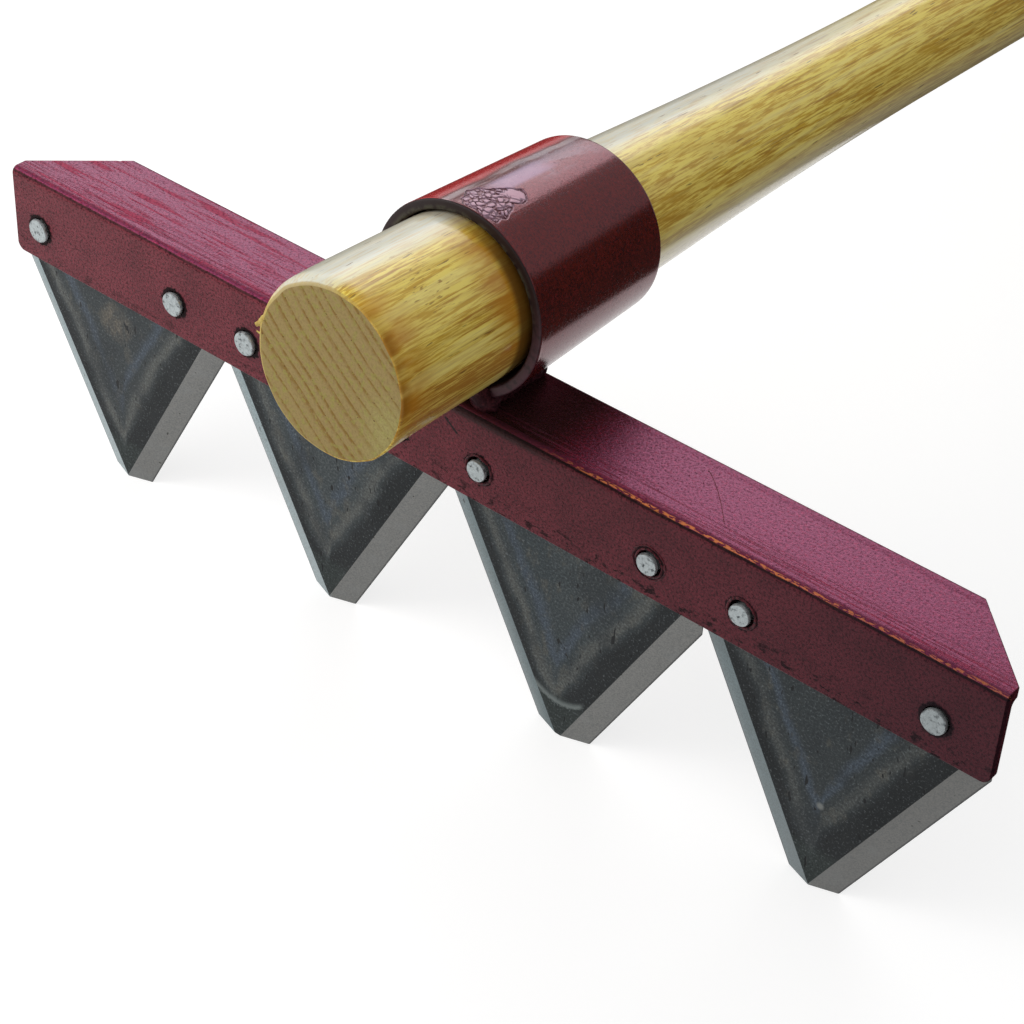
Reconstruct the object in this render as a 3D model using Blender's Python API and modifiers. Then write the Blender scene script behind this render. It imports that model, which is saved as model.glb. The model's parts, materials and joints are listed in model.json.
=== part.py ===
"""Fire rake: mower knife sections riveted to a steel angle, with a welded taper eye on an ash handle.

Metres. While it is modelled, X runs along the bar, Y back towards the grip and Z up, and the zero
point is on the top front edge at the middle of the bar. At the end the whole tool is laid down, with
its tooth tips and the butt of its handle on the floor.
"""
import math

import bmesh
import bpy
from mathutils import Matrix, Vector

# Knife sections: flat triangles with a square heel, ground on both sides of the front face
SECTION_COUNT = 4
SECTION_PITCH = 0.0762
SECTION_SHIFT = -0.0025
SECTION_THICKNESS = 0.0025
SHOULDER_DROP = 0.0288
TIP_DROP = 0.0849
TIP_WIDTH = 0.0142
BEVEL_WIDTH = 0.0064

# Steel angle, sawn to the length of the sections: one leg hangs at the front, the other lies on top
SAW_ALLOWANCE = 0.0012
LEG_THICKNESS = 0.003
FRONT_LEG_HEIGHT = 0.0249
TOP_LEG_DEPTH = 0.0245
HEEL_RADIUS = 0.0018
INSIDE_RADIUS = 0.0015
TOE_RADIUS = 0.0012
SQUARE_END_DEPTH = 0.0047
MITRE_LENGTH = 0.0203
CORNER_RADIUS = 0.0025

# Rivets: an end hammered flat in front, a domed head behind
RIVET_SPACING = 0.0505
RIVET_DROP = 0.0152
RIVET_SHANK_RADIUS = 0.0029
RIVET_FACE_RADIUS = 0.0031
RIVET_HEAD_RADIUS = 0.0037
RIVET_HEAD_HEIGHT = 0.001
REAR_HEAD_RADIUS = 0.0048
REAR_HEAD_HEIGHT = 0.0016

# Ash handle: radii at stations along its axis, counted from the plane of the front leg's face
HANDLE_LENGTH = 1.524
STUB_LENGTH = 0.0389
STUB_END_RADIUS = 0.0216
MOUTH_HANDLE_RADIUS = 0.0209
HEEL_HANDLE_RADIUS = 0.0186
WAIST_DISTANCE = 0.19
WAIST_RADIUS = 0.0147
GRIP_RADIUS = 0.0159
BUTT_RADIUS = 0.0152
BUTT_ROUNDING = 0.006
CUT_END_ROUNDING = 0.0012

# Taper eye: a swaged tube, wide in front, that lies flat along the top leg
EYE_FRONT = 0.0038
EYE_LENGTH = 0.049
EYE_FRONT_WALL = 0.0027
EYE_REAR_WALL = 0.0034
EYE_FRONT_SLACK = 0.0006
EYE_REAR_SLACK = 0.0003
EYE_SHIFT = -0.0017
EYE_YAW = math.radians(1.7)
EYE_RIM_ROUNDING = 0.0006

# Fillet welds along both sides of the eye's seat, each with a blob at its start in front and its end
WELD_FRONT = 0.0009
WELD_RADIUS = 0.0035
WELD_OFFSET = 0.0098
WELD_HEIGHT = 0.0022
WELD_RIPPLES = 6
WELD_RIPPLE_DEPTH = 0.0004
WELD_START_RADIUS = 0.0055
WELD_STOP_RADIUS = 0.0044
WELD_BLOB_LENGTH = 0.0055
WELD_END_LENGTH = 0.0024

# Left between solids that touch on the real tool
SEAT_GAP = 0.0003

BAR_LENGTH = SECTION_COUNT * SECTION_PITCH - SAW_ALLOWANCE
EYE_FRONT_BORE = MOUTH_HANDLE_RADIUS + EYE_FRONT_SLACK + SEAT_GAP
EYE_REAR_BORE = HEEL_HANDLE_RADIUS + EYE_REAR_SLACK + SEAT_GAP
EYE_FRONT_RADIUS = EYE_FRONT_BORE + EYE_FRONT_WALL
EYE_REAR_RADIUS = EYE_REAR_BORE + EYE_REAR_WALL
EYE_PITCH = math.asin((EYE_FRONT_RADIUS - EYE_REAR_RADIUS) / EYE_LENGTH)
SECTION_FRONT = LEG_THICKNESS + SEAT_GAP
SECTION_BACK = SECTION_FRONT + SECTION_THICKNESS
HEEL_DROP = LEG_THICKNESS + INSIDE_RADIUS + SEAT_GAP


def paint(name, colour, roughness, metallic=0.0):
    """A plain Principled finish."""
    material = bpy.data.materials.new(name)
    material.use_nodes = True
    shader = material.node_tree.nodes["Principled BSDF"]
    shader.inputs["Base Color"].default_value = (*colour, 1.0)
    shader.inputs["Roughness"].default_value = roughness
    shader.inputs["Metallic"].default_value = metallic
    return material


def add_object(name, mesh, parent, material=None):
    """A part of the rake, or a cutter where no material is given."""
    piece = bpy.data.objects.new(name, mesh)
    piece.parent = parent
    piece.matrix_parent_inverse = parent.matrix_basis.inverted()
    if material:
        mesh.materials.append(material)
        mesh.shade_smooth()
        mesh.set_sharp_from_angle(angle=math.radians(18))
        parts.objects.link(piece)
    else:
        piece.display_type = "WIRE"
        piece.hide_render = True
        cutters.objects.link(piece)
    return piece


def rounded(corners, segments=6):
    """Outline points with an arc at each corner (x, y, radius) that has a radius."""
    outline = []
    for i, (x, y, radius) in enumerate(corners):
        corner = Vector((x, y))
        if radius == 0:
            outline.append(corner)
            continue
        before = (Vector(corners[i - 1][:2]) - corner).normalized()
        after = (Vector(corners[(i + 1) % len(corners)][:2]) - corner).normalized()
        half = before.angle(after) / 2
        centre = corner + (before + after).normalized() * radius / math.sin(half)
        start = corner + before * radius / math.tan(half) - centre
        end = corner + after * radius / math.tan(half) - centre
        turn = math.atan2(start.x * end.y - start.y * end.x, start.dot(end))
        for step in range(segments + 1):
            outline.append(centre + Matrix.Rotation(turn * step / segments, 2) @ start)
    return outline


def plate_mesh(name, outline, thickness):
    """A flat outline in local XY, as thick as stated and centred on local Z, as a closed mesh."""
    curve = bpy.data.curves.new(name, "CURVE")
    curve.dimensions = "2D"
    curve.fill_mode = "BOTH"
    curve.extrude = thickness / 2
    spline = curve.splines.new("POLY")
    spline.points.add(len(outline) - 1)
    for point, (x, y) in zip(spline.points, outline):
        point.co = (x, y, 0, 1)
    spline.use_cyclic_u = True
    flat = bpy.data.objects.new(name, curve)
    cutters.objects.link(flat)
    bpy.context.view_layer.update()
    mesh = bpy.data.meshes.new_from_object(flat.evaluated_get(bpy.context.evaluated_depsgraph_get()))
    bpy.data.objects.remove(flat)
    bpy.data.curves.remove(curve)
    solid = bmesh.new()
    solid.from_mesh(mesh)
    bmesh.ops.remove_doubles(solid, verts=solid.verts, dist=1e-6)
    bmesh.ops.recalc_face_normals(solid, faces=solid.faces)
    solid.to_mesh(mesh)
    solid.free()
    return mesh


def trim(mesh, cuts):
    """Cuts off what lies beyond each plane (point, outward normal), as a saw or a grinder would."""
    solid = bmesh.new()
    solid.from_mesh(mesh)
    for point, normal in cuts:
        everything = solid.verts[:] + solid.edges[:] + solid.faces[:]
        cut = bmesh.ops.bisect_plane(
            solid, geom=everything, dist=1e-7, plane_co=point, plane_no=normal, clear_outer=True)
        rim = [item for item in cut["geom_cut"] if isinstance(item, bmesh.types.BMEdge)]
        bmesh.ops.contextual_create(solid, geom=rim)
    bmesh.ops.recalc_face_normals(solid, faces=solid.faces)
    solid.to_mesh(mesh)
    solid.free()


def turned(name, profile, parent, material=None, steps=48):
    """Turns a profile of (radius, distance) points round local Y, from the front to the back."""
    mesh = bpy.data.meshes.new(name)
    points = [(radius, distance, 0) for radius, distance in reversed(profile)]
    edges = [(i, i + 1) for i in range(len(points) - 1)]
    mesh.from_pydata(points, edges, [])
    piece = add_object(name, mesh, parent, material)
    screw = piece.modifiers.new("turning", "SCREW")
    screw.axis = "Y"
    screw.steps = steps
    screw.render_steps = steps
    screw.use_merge_vertices = True
    screw.merge_threshold = 1e-5
    return piece


def cut_away(piece, cutter):
    """A Boolean difference that stays live on the piece."""
    boolean = piece.modifiers.new("cut", "BOOLEAN")
    boolean.operation = "DIFFERENCE"
    boolean.object = cutter


def round_end(radius, distance, rounding, towards, segments=5):
    """Profile points of a rounded end: from the flat out to the side, or back, as towards says."""
    points = [(0.0, distance), (radius - rounding, distance)]
    for step in range(1, segments + 1):
        angle = math.pi / 2 * step / segments
        side = radius - rounding + rounding * math.sin(angle)
        points.append((side, distance + towards * rounding * (1 - math.cos(angle))))
    return points


def smooth_radius(stations, distance):
    """The handle's radius between its stations, on an eased curve without kinks."""
    for (start, start_radius), (end, end_radius) in zip(stations, stations[1:]):
        if distance <= end:
            share = (distance - start) / (end - start)
            eased = share * share * (3 - 2 * share)
            return start_radius + (end_radius - start_radius) * eased
    return stations[-1][1]


def rivet_places():
    """Every rivet's X, from left to right, two for each knife section."""
    for index in range(SECTION_COUNT):
        for side in (-1, 1):
            yield section_middle(index) + side * RIVET_SPACING / 2


def section_middle(index):
    """The X of a knife section's middle."""
    return SECTION_SHIFT + SECTION_PITCH * (index - (SECTION_COUNT - 1) / 2)


def make_angle_bar():
    """Steel angle with a round heel, mitred top corners and softened lower corners."""
    corners = [(0, 0, HEEL_RADIUS),
               (0, -FRONT_LEG_HEIGHT, 0),
               (LEG_THICKNESS, -FRONT_LEG_HEIGHT, TOE_RADIUS),
               (LEG_THICKNESS, -LEG_THICKNESS, INSIDE_RADIUS),
               (TOP_LEG_DEPTH, -LEG_THICKNESS, TOE_RADIUS),
               (TOP_LEG_DEPTH, 0, 0)]
    mesh = plate_mesh("angle_bar", rounded(corners), BAR_LENGTH)
    mesh.transform(Matrix(((0, 0, 1, 0), (1, 0, 0, 0), (0, 1, 0, 0), (0, 0, 0, 1))))
    end = BAR_LENGTH / 2
    corner_z = -FRONT_LEG_HEIGHT + CORNER_RADIUS
    cuts = []
    for side in (-1, 1):
        back = TOP_LEG_DEPTH - SQUARE_END_DEPTH
        cuts.append(((side * end, SQUARE_END_DEPTH, 0), (side * back, MITRE_LENGTH, 0)))
        centre = Vector((side * (end - CORNER_RADIUS), 0, corner_z))
        for angle in (math.radians(22.5), math.radians(45), math.radians(67.5)):
            normal = Vector((side * math.cos(angle), 0, -math.sin(angle)))
            cuts.append((centre + normal * CORNER_RADIUS, normal))
    trim(mesh, cuts)
    return add_object("angle_bar", mesh, head, maroon_paint)


def make_knife_section(index):
    """A mower knife section: square heel, slanting sides to a cut-off tip, both sides ground."""
    half_heel = (SECTION_PITCH - SEAT_GAP) / 2
    half_tip = TIP_WIDTH / 2
    outline = [(-half_heel, -HEEL_DROP), (-half_heel, -SHOULDER_DROP), (-half_tip, -TIP_DROP),
               (half_tip, -TIP_DROP), (half_heel, -SHOULDER_DROP), (half_heel, -HEEL_DROP)]
    name = f"knife_section_{index + 1}"
    mesh = plate_mesh(name, outline, SECTION_THICKNESS)
    middle = Vector((section_middle(index), SECTION_FRONT + SECTION_THICKNESS / 2, 0))
    upright = Matrix(((1, 0, 0, 0), (0, 0, -1, 0), (0, 1, 0, 0), (0, 0, 0, 1)))
    mesh.transform(Matrix.Translation(middle) @ upright)
    edge = Vector((half_tip - half_heel, 0, SHOULDER_DROP - TIP_DROP)).normalized()
    cuts = []
    for side in (-1, 1):
        edge_point = Vector((middle.x + side * half_tip, SECTION_BACK, -TIP_DROP))
        outward = Vector((-side * edge.z, 0, edge.x))
        normal = outward * SECTION_THICKNESS + Vector((0, -BEVEL_WIDTH, 0))
        cuts.append((edge_point, normal.normalized()))
    trim(mesh, cuts)
    return add_object(name, mesh, head, blade_steel)


def make_rivet(index, x):
    """A rivet through the front leg and a knife section, hammered flat in front."""
    front = -SEAT_GAP
    back = SECTION_BACK + SEAT_GAP
    face = front - RIVET_HEAD_HEIGHT
    profile = [(0, face),
               (RIVET_FACE_RADIUS, face),
               (RIVET_HEAD_RADIUS, face + (front - face) / 2),
               (RIVET_HEAD_RADIUS, front),
               (RIVET_SHANK_RADIUS, front),
               (RIVET_SHANK_RADIUS, back)]
    for step in range(6):
        angle = math.pi / 2 * step / 5
        profile.append((REAR_HEAD_RADIUS * math.cos(angle), back + REAR_HEAD_HEIGHT * math.sin(angle)))
    profile[-1] = (0, back + REAR_HEAD_HEIGHT)
    rivet = turned(f"rivet_{index + 1}", profile, head, bright_steel, steps=24)
    rivet.location = (x, 0, -RIVET_DROP)
    return rivet


def make_rivet_hole(index, x):
    """A cutter with the rivet's clearance round its shank."""
    reach = SECTION_BACK + LEG_THICKNESS
    radius = RIVET_SHANK_RADIUS + SEAT_GAP
    profile = [(0, -LEG_THICKNESS), (radius, -LEG_THICKNESS), (radius, reach), (0, reach)]
    hole = turned(f"rivet_hole_{index + 1}", profile, head, steps=24)
    hole.location = (x, 0, -RIVET_DROP)
    return hole


def eye_matrix():
    """The eye's place: local Y on its axis, local zero at its mouth, its underside flat on the leg."""
    turn = Matrix.Rotation(EYE_YAW, 4, "Z") @ Matrix.Rotation(-EYE_PITCH, 4, "X")
    height = EYE_FRONT_RADIUS / math.cos(EYE_PITCH) + SEAT_GAP
    height -= EYE_FRONT_RADIUS * math.sin(EYE_PITCH) * math.tan(EYE_PITCH)
    return Matrix.Translation((EYE_SHIFT, EYE_FRONT, height)) @ turn


def make_collar():
    """The eye: a short tube that narrows towards the back, its rims rubbed round."""
    rim = EYE_RIM_ROUNDING
    loop = [(EYE_FRONT_RADIUS - rim, 0),
            (EYE_FRONT_RADIUS, rim),
            (EYE_REAR_RADIUS, EYE_LENGTH - rim),
            (EYE_REAR_RADIUS - rim, EYE_LENGTH),
            (EYE_REAR_BORE + rim, EYE_LENGTH),
            (EYE_REAR_BORE, EYE_LENGTH - rim),
            (EYE_FRONT_BORE, rim),
            (EYE_FRONT_BORE + rim, 0),
            (EYE_FRONT_RADIUS - rim, 0)]
    collar = turned("collar", loop, head, maroon_paint, steps=64)
    collar.matrix_basis = eye_matrix()
    return collar


def make_eye_cutter():
    """A solid cone one seat gap larger than the eye, to cut the welds to its side."""
    slope = (EYE_REAR_RADIUS - EYE_FRONT_RADIUS) / EYE_LENGTH
    past = EYE_LENGTH / 4
    front = EYE_FRONT_RADIUS + SEAT_GAP - slope * past
    rear = EYE_REAR_RADIUS + SEAT_GAP + slope * past
    profile = [(0, -past), (front, -past), (rear, EYE_LENGTH + past), (0, EYE_LENGTH + past)]
    cutter = turned("eye_cutter", profile, head, steps=64)
    cutter.matrix_basis = eye_matrix()
    return cutter


def make_leg_cutter():
    """A slab one seat gap above the top leg, to cut the welds to its face."""
    solid = bmesh.new()
    bmesh.ops.create_cube(solid, size=BAR_LENGTH)
    mesh = bpy.data.meshes.new("leg_cutter")
    solid.to_mesh(mesh)
    solid.free()
    mesh.transform(Matrix.Translation((0, 0, SEAT_GAP - BAR_LENGTH / 2)))
    return add_object("leg_cutter", mesh, head)


def make_weld_bead(name, side, eye_cutter, leg_cutter):
    """A rippled bead of weld in the corner between the eye and the top leg, with blobs at its ends."""
    length = TOP_LEG_DEPTH - WELD_FRONT
    rings = WELD_RIPPLES * 4
    profile = [(0, 0)]
    for ring in range(1, rings):
        distance = length * ring / rings
        ripple = WELD_RIPPLE_DEPTH * abs(math.sin(math.pi * ring * WELD_RIPPLES / rings))
        start = math.cos(math.pi / 2 * min(1, distance / WELD_BLOB_LENGTH))
        stop = math.cos(math.pi / 2 * min(1, (length - distance) / WELD_BLOB_LENGTH))
        radius = WELD_RADIUS - ripple
        radius += (WELD_START_RADIUS - WELD_RADIUS) * start + (WELD_STOP_RADIUS - WELD_RADIUS) * stop
        to_end = min(1, distance / WELD_END_LENGTH, (length - distance) / WELD_END_LENGTH)
        profile.append((radius * math.sqrt(to_end * (2 - to_end)), distance))
    profile.append((0, length))
    bead = turned(name, profile, head, maroon_paint, steps=32)
    seam = Matrix.Translation((EYE_SHIFT, WELD_FRONT, 0)) @ Matrix.Rotation(EYE_YAW, 4, "Z")
    bead.matrix_basis = seam @ Matrix.Translation((side * WELD_OFFSET, 0, WELD_HEIGHT))
    cut_away(bead, eye_cutter)
    cut_away(bead, leg_cutter)
    return bead


def handle_matrix():
    """The handle's place: local Y on its axis, which lies a little askew in the slack of the eye."""
    askew = math.atan((EYE_FRONT_SLACK + EYE_REAR_SLACK) / EYE_LENGTH)
    mouth = eye_matrix() @ Matrix.Translation((-EYE_FRONT_SLACK, 0, 0))
    return mouth @ Matrix.Rotation(-askew, 4, "Z")


def make_handle():
    """A turned ash handle: thick and cut off square in front, slim behind the eye, rounded butt."""
    front = -EYE_FRONT - STUB_LENGTH
    butt = front + HANDLE_LENGTH
    middle = (WAIST_DISTANCE + butt) / 2
    eye_end = EYE_LENGTH
    profile = round_end(STUB_END_RADIUS, front, CUT_END_ROUNDING, 1, segments=3)
    profile += [(MOUTH_HANDLE_RADIUS, 0), (HEEL_HANDLE_RADIUS, eye_end)]
    slope = (HEEL_HANDLE_RADIUS - MOUTH_HANDLE_RADIUS) / EYE_LENGTH
    run_out = WAIST_DISTANCE - eye_end
    for step in range(1, 9):
        share = step / 8
        radius = HEEL_HANDLE_RADIUS + (WAIST_RADIUS - HEEL_HANDLE_RADIUS) * share * share * (3 - 2 * share)
        radius += slope * run_out * share * (1 - share) ** 2
        profile.append((radius, eye_end + run_out * share))
    stations = [(WAIST_DISTANCE, WAIST_RADIUS), (middle, GRIP_RADIUS), (butt, BUTT_RADIUS)]
    for step in range(1, 16):
        distance = WAIST_DISTANCE + (butt - BUTT_ROUNDING - WAIST_DISTANCE) * step / 16
        profile.append((smooth_radius(stations, distance), distance))
    profile += reversed(round_end(BUTT_RADIUS, butt, BUTT_ROUNDING, -1))
    handle = turned("handle", profile, tool, ash_wood, steps=48)
    handle.matrix_basis = handle_matrix()
    return handle


def lay_down():
    """Tilts the tool until its tooth tips and its butt are level, then centres it on the floor."""
    tips = Vector((SECTION_BACK, -TIP_DROP))
    butt = HANDLE_LENGTH - EYE_FRONT - STUB_LENGTH - BUTT_ROUNDING
    edge = handle_matrix() @ Vector((0, butt, BUTT_ROUNDING - BUTT_RADIUS))
    reach = Vector((edge.y, edge.z)) - tips
    slant = math.atan2(reach.y, reach.x) - math.asin(BUTT_ROUNDING / reach.length)
    tool.rotation_euler = (-slant, 0, 0)
    bpy.context.view_layer.update()
    shapes = bpy.context.evaluated_depsgraph_get()
    points = []
    for piece in parts.objects:
        mesh = piece.evaluated_get(shapes).to_mesh()
        points += [piece.matrix_world @ vertex.co for vertex in mesh.vertices]
    low = Vector([min(point[axis] for point in points) for axis in range(3)])
    high = Vector([max(point[axis] for point in points) for axis in range(3)])
    tool.location = (-(low.x + high.x) / 2, -(low.y + high.y) / 2, -low.z)
    bpy.context.view_layer.update()


for old in list(bpy.data.objects):
    bpy.data.objects.remove(old)
parts = bpy.data.collections.new("fire_rake")
cutters = bpy.data.collections.new("cutters")
bpy.context.scene.collection.children.link(parts)
bpy.context.scene.collection.children.link(cutters)

maroon_paint = paint("maroon_paint", (0.16, 0.035, 0.055), 0.35)
blade_steel = paint("blade_steel", (0.10, 0.12, 0.13), 0.45, metallic=0.9)
bright_steel = paint("bright_steel", (0.62, 0.64, 0.64), 0.4, metallic=0.9)
ash_wood = paint("ash_wood", (0.62, 0.42, 0.14), 0.35)

tool = bpy.data.objects.new("tool", None)
cutters.objects.link(tool)
head = bpy.data.objects.new("head", None)
head.parent = tool
head.matrix_basis = handle_matrix()
cutters.objects.link(head)

angle_bar = make_angle_bar()
sections = [make_knife_section(index) for index in range(SECTION_COUNT)]
for index, x in enumerate(rivet_places()):
    make_rivet(index, x)
    hole = make_rivet_hole(index, x)
    cut_away(angle_bar, hole)
    cut_away(sections[index // 2], hole)
make_collar()
cutter_round = make_eye_cutter()
cutter_flat = make_leg_cutter()
make_weld_bead("weld_bead_left", -1, cutter_round, cutter_flat)
make_weld_bead("weld_bead_right", 1, cutter_round, cutter_flat)
make_handle()
lay_down()
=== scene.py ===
"""Looks of a fire rake: mower knife sections riveted to a maroon steel angle, on an ash handle.

Metres. Pieces of the head are shaped on a bench of their own, X along the bar, Y back towards the
grip and Z up from the bar's top front edge, and are then laid down with the tool on its teeth.
"""
import json
import math

import bmesh
import bpy
from mathutils import Matrix, Vector, noise


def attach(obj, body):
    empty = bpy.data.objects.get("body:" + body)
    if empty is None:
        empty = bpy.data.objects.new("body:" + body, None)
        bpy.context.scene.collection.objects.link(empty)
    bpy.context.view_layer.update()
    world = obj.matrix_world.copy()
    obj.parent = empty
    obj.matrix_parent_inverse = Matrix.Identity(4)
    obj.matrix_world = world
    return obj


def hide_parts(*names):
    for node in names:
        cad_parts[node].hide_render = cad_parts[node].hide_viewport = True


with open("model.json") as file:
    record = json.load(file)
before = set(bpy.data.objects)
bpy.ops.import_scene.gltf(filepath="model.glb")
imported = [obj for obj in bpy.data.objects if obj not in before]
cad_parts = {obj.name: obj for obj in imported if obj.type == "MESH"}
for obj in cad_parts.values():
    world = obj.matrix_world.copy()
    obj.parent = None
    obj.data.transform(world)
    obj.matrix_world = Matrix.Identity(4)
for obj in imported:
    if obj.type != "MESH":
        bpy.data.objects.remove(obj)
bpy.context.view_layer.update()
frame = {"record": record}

# The steel angle: hot-rolled stock, sawn off and mitred at both ends, drilled for eight rivets and
# brushed with maroon enamel. The other steel pieces are riveted and welded to it.
BAR_LENGTH = 0.3036
LEG_THICKNESS = 0.003
FRONT_LEG_HEIGHT = 0.0249
TOP_LEG_DEPTH = 0.0245
HEEL_RADIUS = 0.0018
INSIDE_RADIUS = 0.0015
TOE_RADIUS = 0.0012
SQUARE_END_DEPTH = 0.0047
MITRE_LENGTH = 0.0203
CORNER_RADIUS = 0.0025
ROLLED_LINE = 0.0218
ROLLED_LINE_DEPTH = 0.00014
BAR_ARRIS = 0.00035
SECTION_PITCH = 0.0762
SECTION_SHIFT = -0.0025
RIVET_SPACING = 0.0505
RIVET_DROP = 0.0152
RIVET_SHANK_RADIUS = 0.0029
HOLE_PLAY = 0.0003
REAR_EDGE_X = 0.08
REAR_EDGE_DROP = 0.0009

rear_edge = next(mount for mount in frame["record"]["mounts"] if mount["name"] == "bar_rear_edge")
slant = Vector((0, 1, 0)).rotation_difference(Vector(rear_edge["axis"])).to_matrix().to_4x4()
bench = Matrix.Translation(rear_edge["pos_m"]) @ slant
bench = bench @ Matrix.Translation((-REAR_EDGE_X, -TOP_LEG_DEPTH, REAR_EDGE_DROP))
section_middles = [SECTION_SHIFT + SECTION_PITCH * (index - 1.5) for index in range(4)]
rivet_places = [middle + side * RIVET_SPACING / 2 for middle in section_middles for side in (-1, 1)]


def select_only(*pieces):
    """Out of edit mode, with nothing but these pieces selected and the last of them active."""
    if bpy.context.object and bpy.context.object.mode == "EDIT":
        bpy.ops.object.mode_set(mode="OBJECT")
    bpy.ops.object.select_all(action="DESELECT")
    for piece in pieces:
        piece.select_set(True)
        bpy.context.view_layer.objects.active = piece


def open_up(piece):
    """Only this piece in edit mode."""
    select_only(piece)
    bpy.ops.object.mode_set(mode="EDIT")


def pick(kind, test):
    """Selects the vertices, edges or faces all of whose points pass the test."""
    bpy.ops.mesh.select_mode(type=kind)
    bpy.ops.mesh.select_all(action="DESELECT")
    shape = bmesh.from_edit_mesh(bpy.context.object.data)
    for item in {"VERT": shape.verts, "EDGE": shape.edges, "FACE": shape.faces}[kind]:
        points = [item] if kind == "VERT" else item.verts
        if all(test(point.co) for point in points):
            item.select_set(True)
    shape.select_flush_mode()
    bmesh.update_edit_mesh(bpy.context.object.data)


def slice_off(point, outward):
    """Saws off all that lies beyond a plane and closes the cut."""
    bpy.ops.mesh.select_all(action="SELECT")
    bpy.ops.mesh.bisect(plane_co=point, plane_no=outward, use_fill=True, clear_outer=True, threshold=1e-7)


def score(point, across):
    """Draws a line of edges round the piece where a plane crosses it."""
    bpy.ops.mesh.select_all(action="SELECT")
    bpy.ops.mesh.bisect(plane_co=point, plane_no=across, threshold=1e-7)


def draw_out(*way):
    """Extrudes the selected faces."""
    bpy.ops.mesh.extrude_region_move(TRANSFORM_OT_translate={"value": way})


def near(value, target):
    return abs(value - target) < 1e-5


def take_up(name):
    """The primitive that was just added, named, with its size and place in its mesh."""
    piece = bpy.context.object
    piece.name = name
    bpy.ops.object.transform_apply()
    return piece


def finish_with(piece, kind, **settings):
    """Adds a modifier with these settings and applies it."""
    select_only(piece)
    modifier = piece.modifiers.new(kind.title(), kind)
    for name, value in settings.items():
        setattr(modifier, name, value)
    bpy.ops.object.modifier_apply(modifier=modifier.name)


def soften(piece, width, segments=3, angle=35):
    """Takes the sharpness off every arris and evens the shading of the flats beside it."""
    finish_with(piece, "BEVEL", width=width, segments=segments, limit_method="ANGLE",
                angle_limit=math.radians(angle), use_clamp_overlap=False)
    select_only(piece)
    bpy.ops.object.shade_smooth()
    finish_with(piece, "WEIGHTED_NORMAL", keep_sharp=True, weight=80)


def drill(piece, places):
    """Bores the rivet holes, which run from front to back, at each of these X."""
    cutters = []
    for x in places:
        bpy.ops.mesh.primitive_cylinder_add(
            vertices=32, radius=RIVET_SHANK_RADIUS + HOLE_PLAY, depth=0.03,
            location=(x, 0, -RIVET_DROP), rotation=(math.pi / 2, 0, 0))
        cutters.append(bpy.context.object)
    select_only(*cutters)
    bpy.ops.object.join()
    drill_bits = bpy.context.object
    bpy.ops.object.transform_apply()
    finish_with(piece, "BOOLEAN", object=drill_bits, operation="DIFFERENCE", solver="EXACT")
    bpy.data.objects.remove(drill_bits)


def lay_down(piece, place, body, slot, *solids):
    """Puts a finished piece in its place on the tool and on its body, and hides the solids of the model that
    it stands for.
    """
    select_only(piece)
    piece.matrix_world = place @ piece.matrix_world
    bpy.ops.object.transform_apply()
    if solids:
        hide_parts(*solids)
    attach(piece, body)


select_only()
bpy.ops.mesh.primitive_cube_add(size=1, scale=(BAR_LENGTH, TOP_LEG_DEPTH, LEG_THICKNESS),
                                location=(0, TOP_LEG_DEPTH / 2, -LEG_THICKNESS / 2))
angle_bar = take_up("maroon_angle")
open_up(angle_bar)
score((0, LEG_THICKNESS, 0), (0, 1, 0))
pick("FACE", lambda p: near(p.z, -LEG_THICKNESS) and p.y < LEG_THICKNESS + 1e-5)
draw_out(0, 0, LEG_THICKNESS - FRONT_LEG_HEIGHT)
pick("EDGE", lambda p: near(p.y, 0) and near(p.z, 0))
bpy.ops.mesh.bevel(offset=HEEL_RADIUS, segments=8, affect="EDGES")
pick("EDGE", lambda p: near(p.y, LEG_THICKNESS) and near(p.z, -LEG_THICKNESS))
bpy.ops.mesh.bevel(offset=INSIDE_RADIUS, segments=6, affect="EDGES")
pick("EDGE", lambda p: near(p.y, LEG_THICKNESS) and near(p.z, -FRONT_LEG_HEIGHT))
bpy.ops.mesh.bevel(offset=TOE_RADIUS, segments=5, affect="EDGES")
pick("EDGE", lambda p: near(p.y, TOP_LEG_DEPTH) and near(p.z, -LEG_THICKNESS))
bpy.ops.mesh.bevel(offset=TOE_RADIUS, segments=5, affect="EDGES")
for groove_y in (ROLLED_LINE - 0.0005, ROLLED_LINE, ROLLED_LINE + 0.0004):
    score((0, groove_y, 0), (0, 1, 0))
pick("VERT", lambda p: near(p.y, ROLLED_LINE) and near(p.z, 0))
bpy.ops.transform.translate(value=(0, 0, -ROLLED_LINE_DEPTH))
end = BAR_LENGTH / 2
for side in (-1, 1):
    slice_off((side * end, SQUARE_END_DEPTH, 0),
              (side * (TOP_LEG_DEPTH - SQUARE_END_DEPTH), MITRE_LENGTH, 0))
    for degrees in (15, 30, 45, 60, 75):
        outward = Vector((side * math.cos(math.radians(degrees)), 0, -math.sin(math.radians(degrees))))
        centre = Vector((side * (end - CORNER_RADIUS), 0, CORNER_RADIUS - FRONT_LEG_HEIGHT))
        slice_off(centre + outward * CORNER_RADIUS, outward)
select_only(angle_bar)
drill(angle_bar, rivet_places)
soften(angle_bar, BAR_ARRIS)


class Reading:
    """A value, colour or place over a surface. Arithmetic on readings adds the Math nodes for it."""

    def __init__(self, socket):
        self.socket = socket
        self.tree = socket.id_data

    def __add__(self, other):
        return do_maths("ADD", self, other)

    def __sub__(self, other):
        return do_maths("SUBTRACT", self, other)

    def __rsub__(self, other):
        return do_maths("SUBTRACT", other, self)

    def __mul__(self, other):
        return do_maths("MULTIPLY", self, other)

    def __truediv__(self, other):
        return do_maths("DIVIDE", self, other)

    def __abs__(self):
        return do_maths("ABSOLUTE", self)


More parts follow.
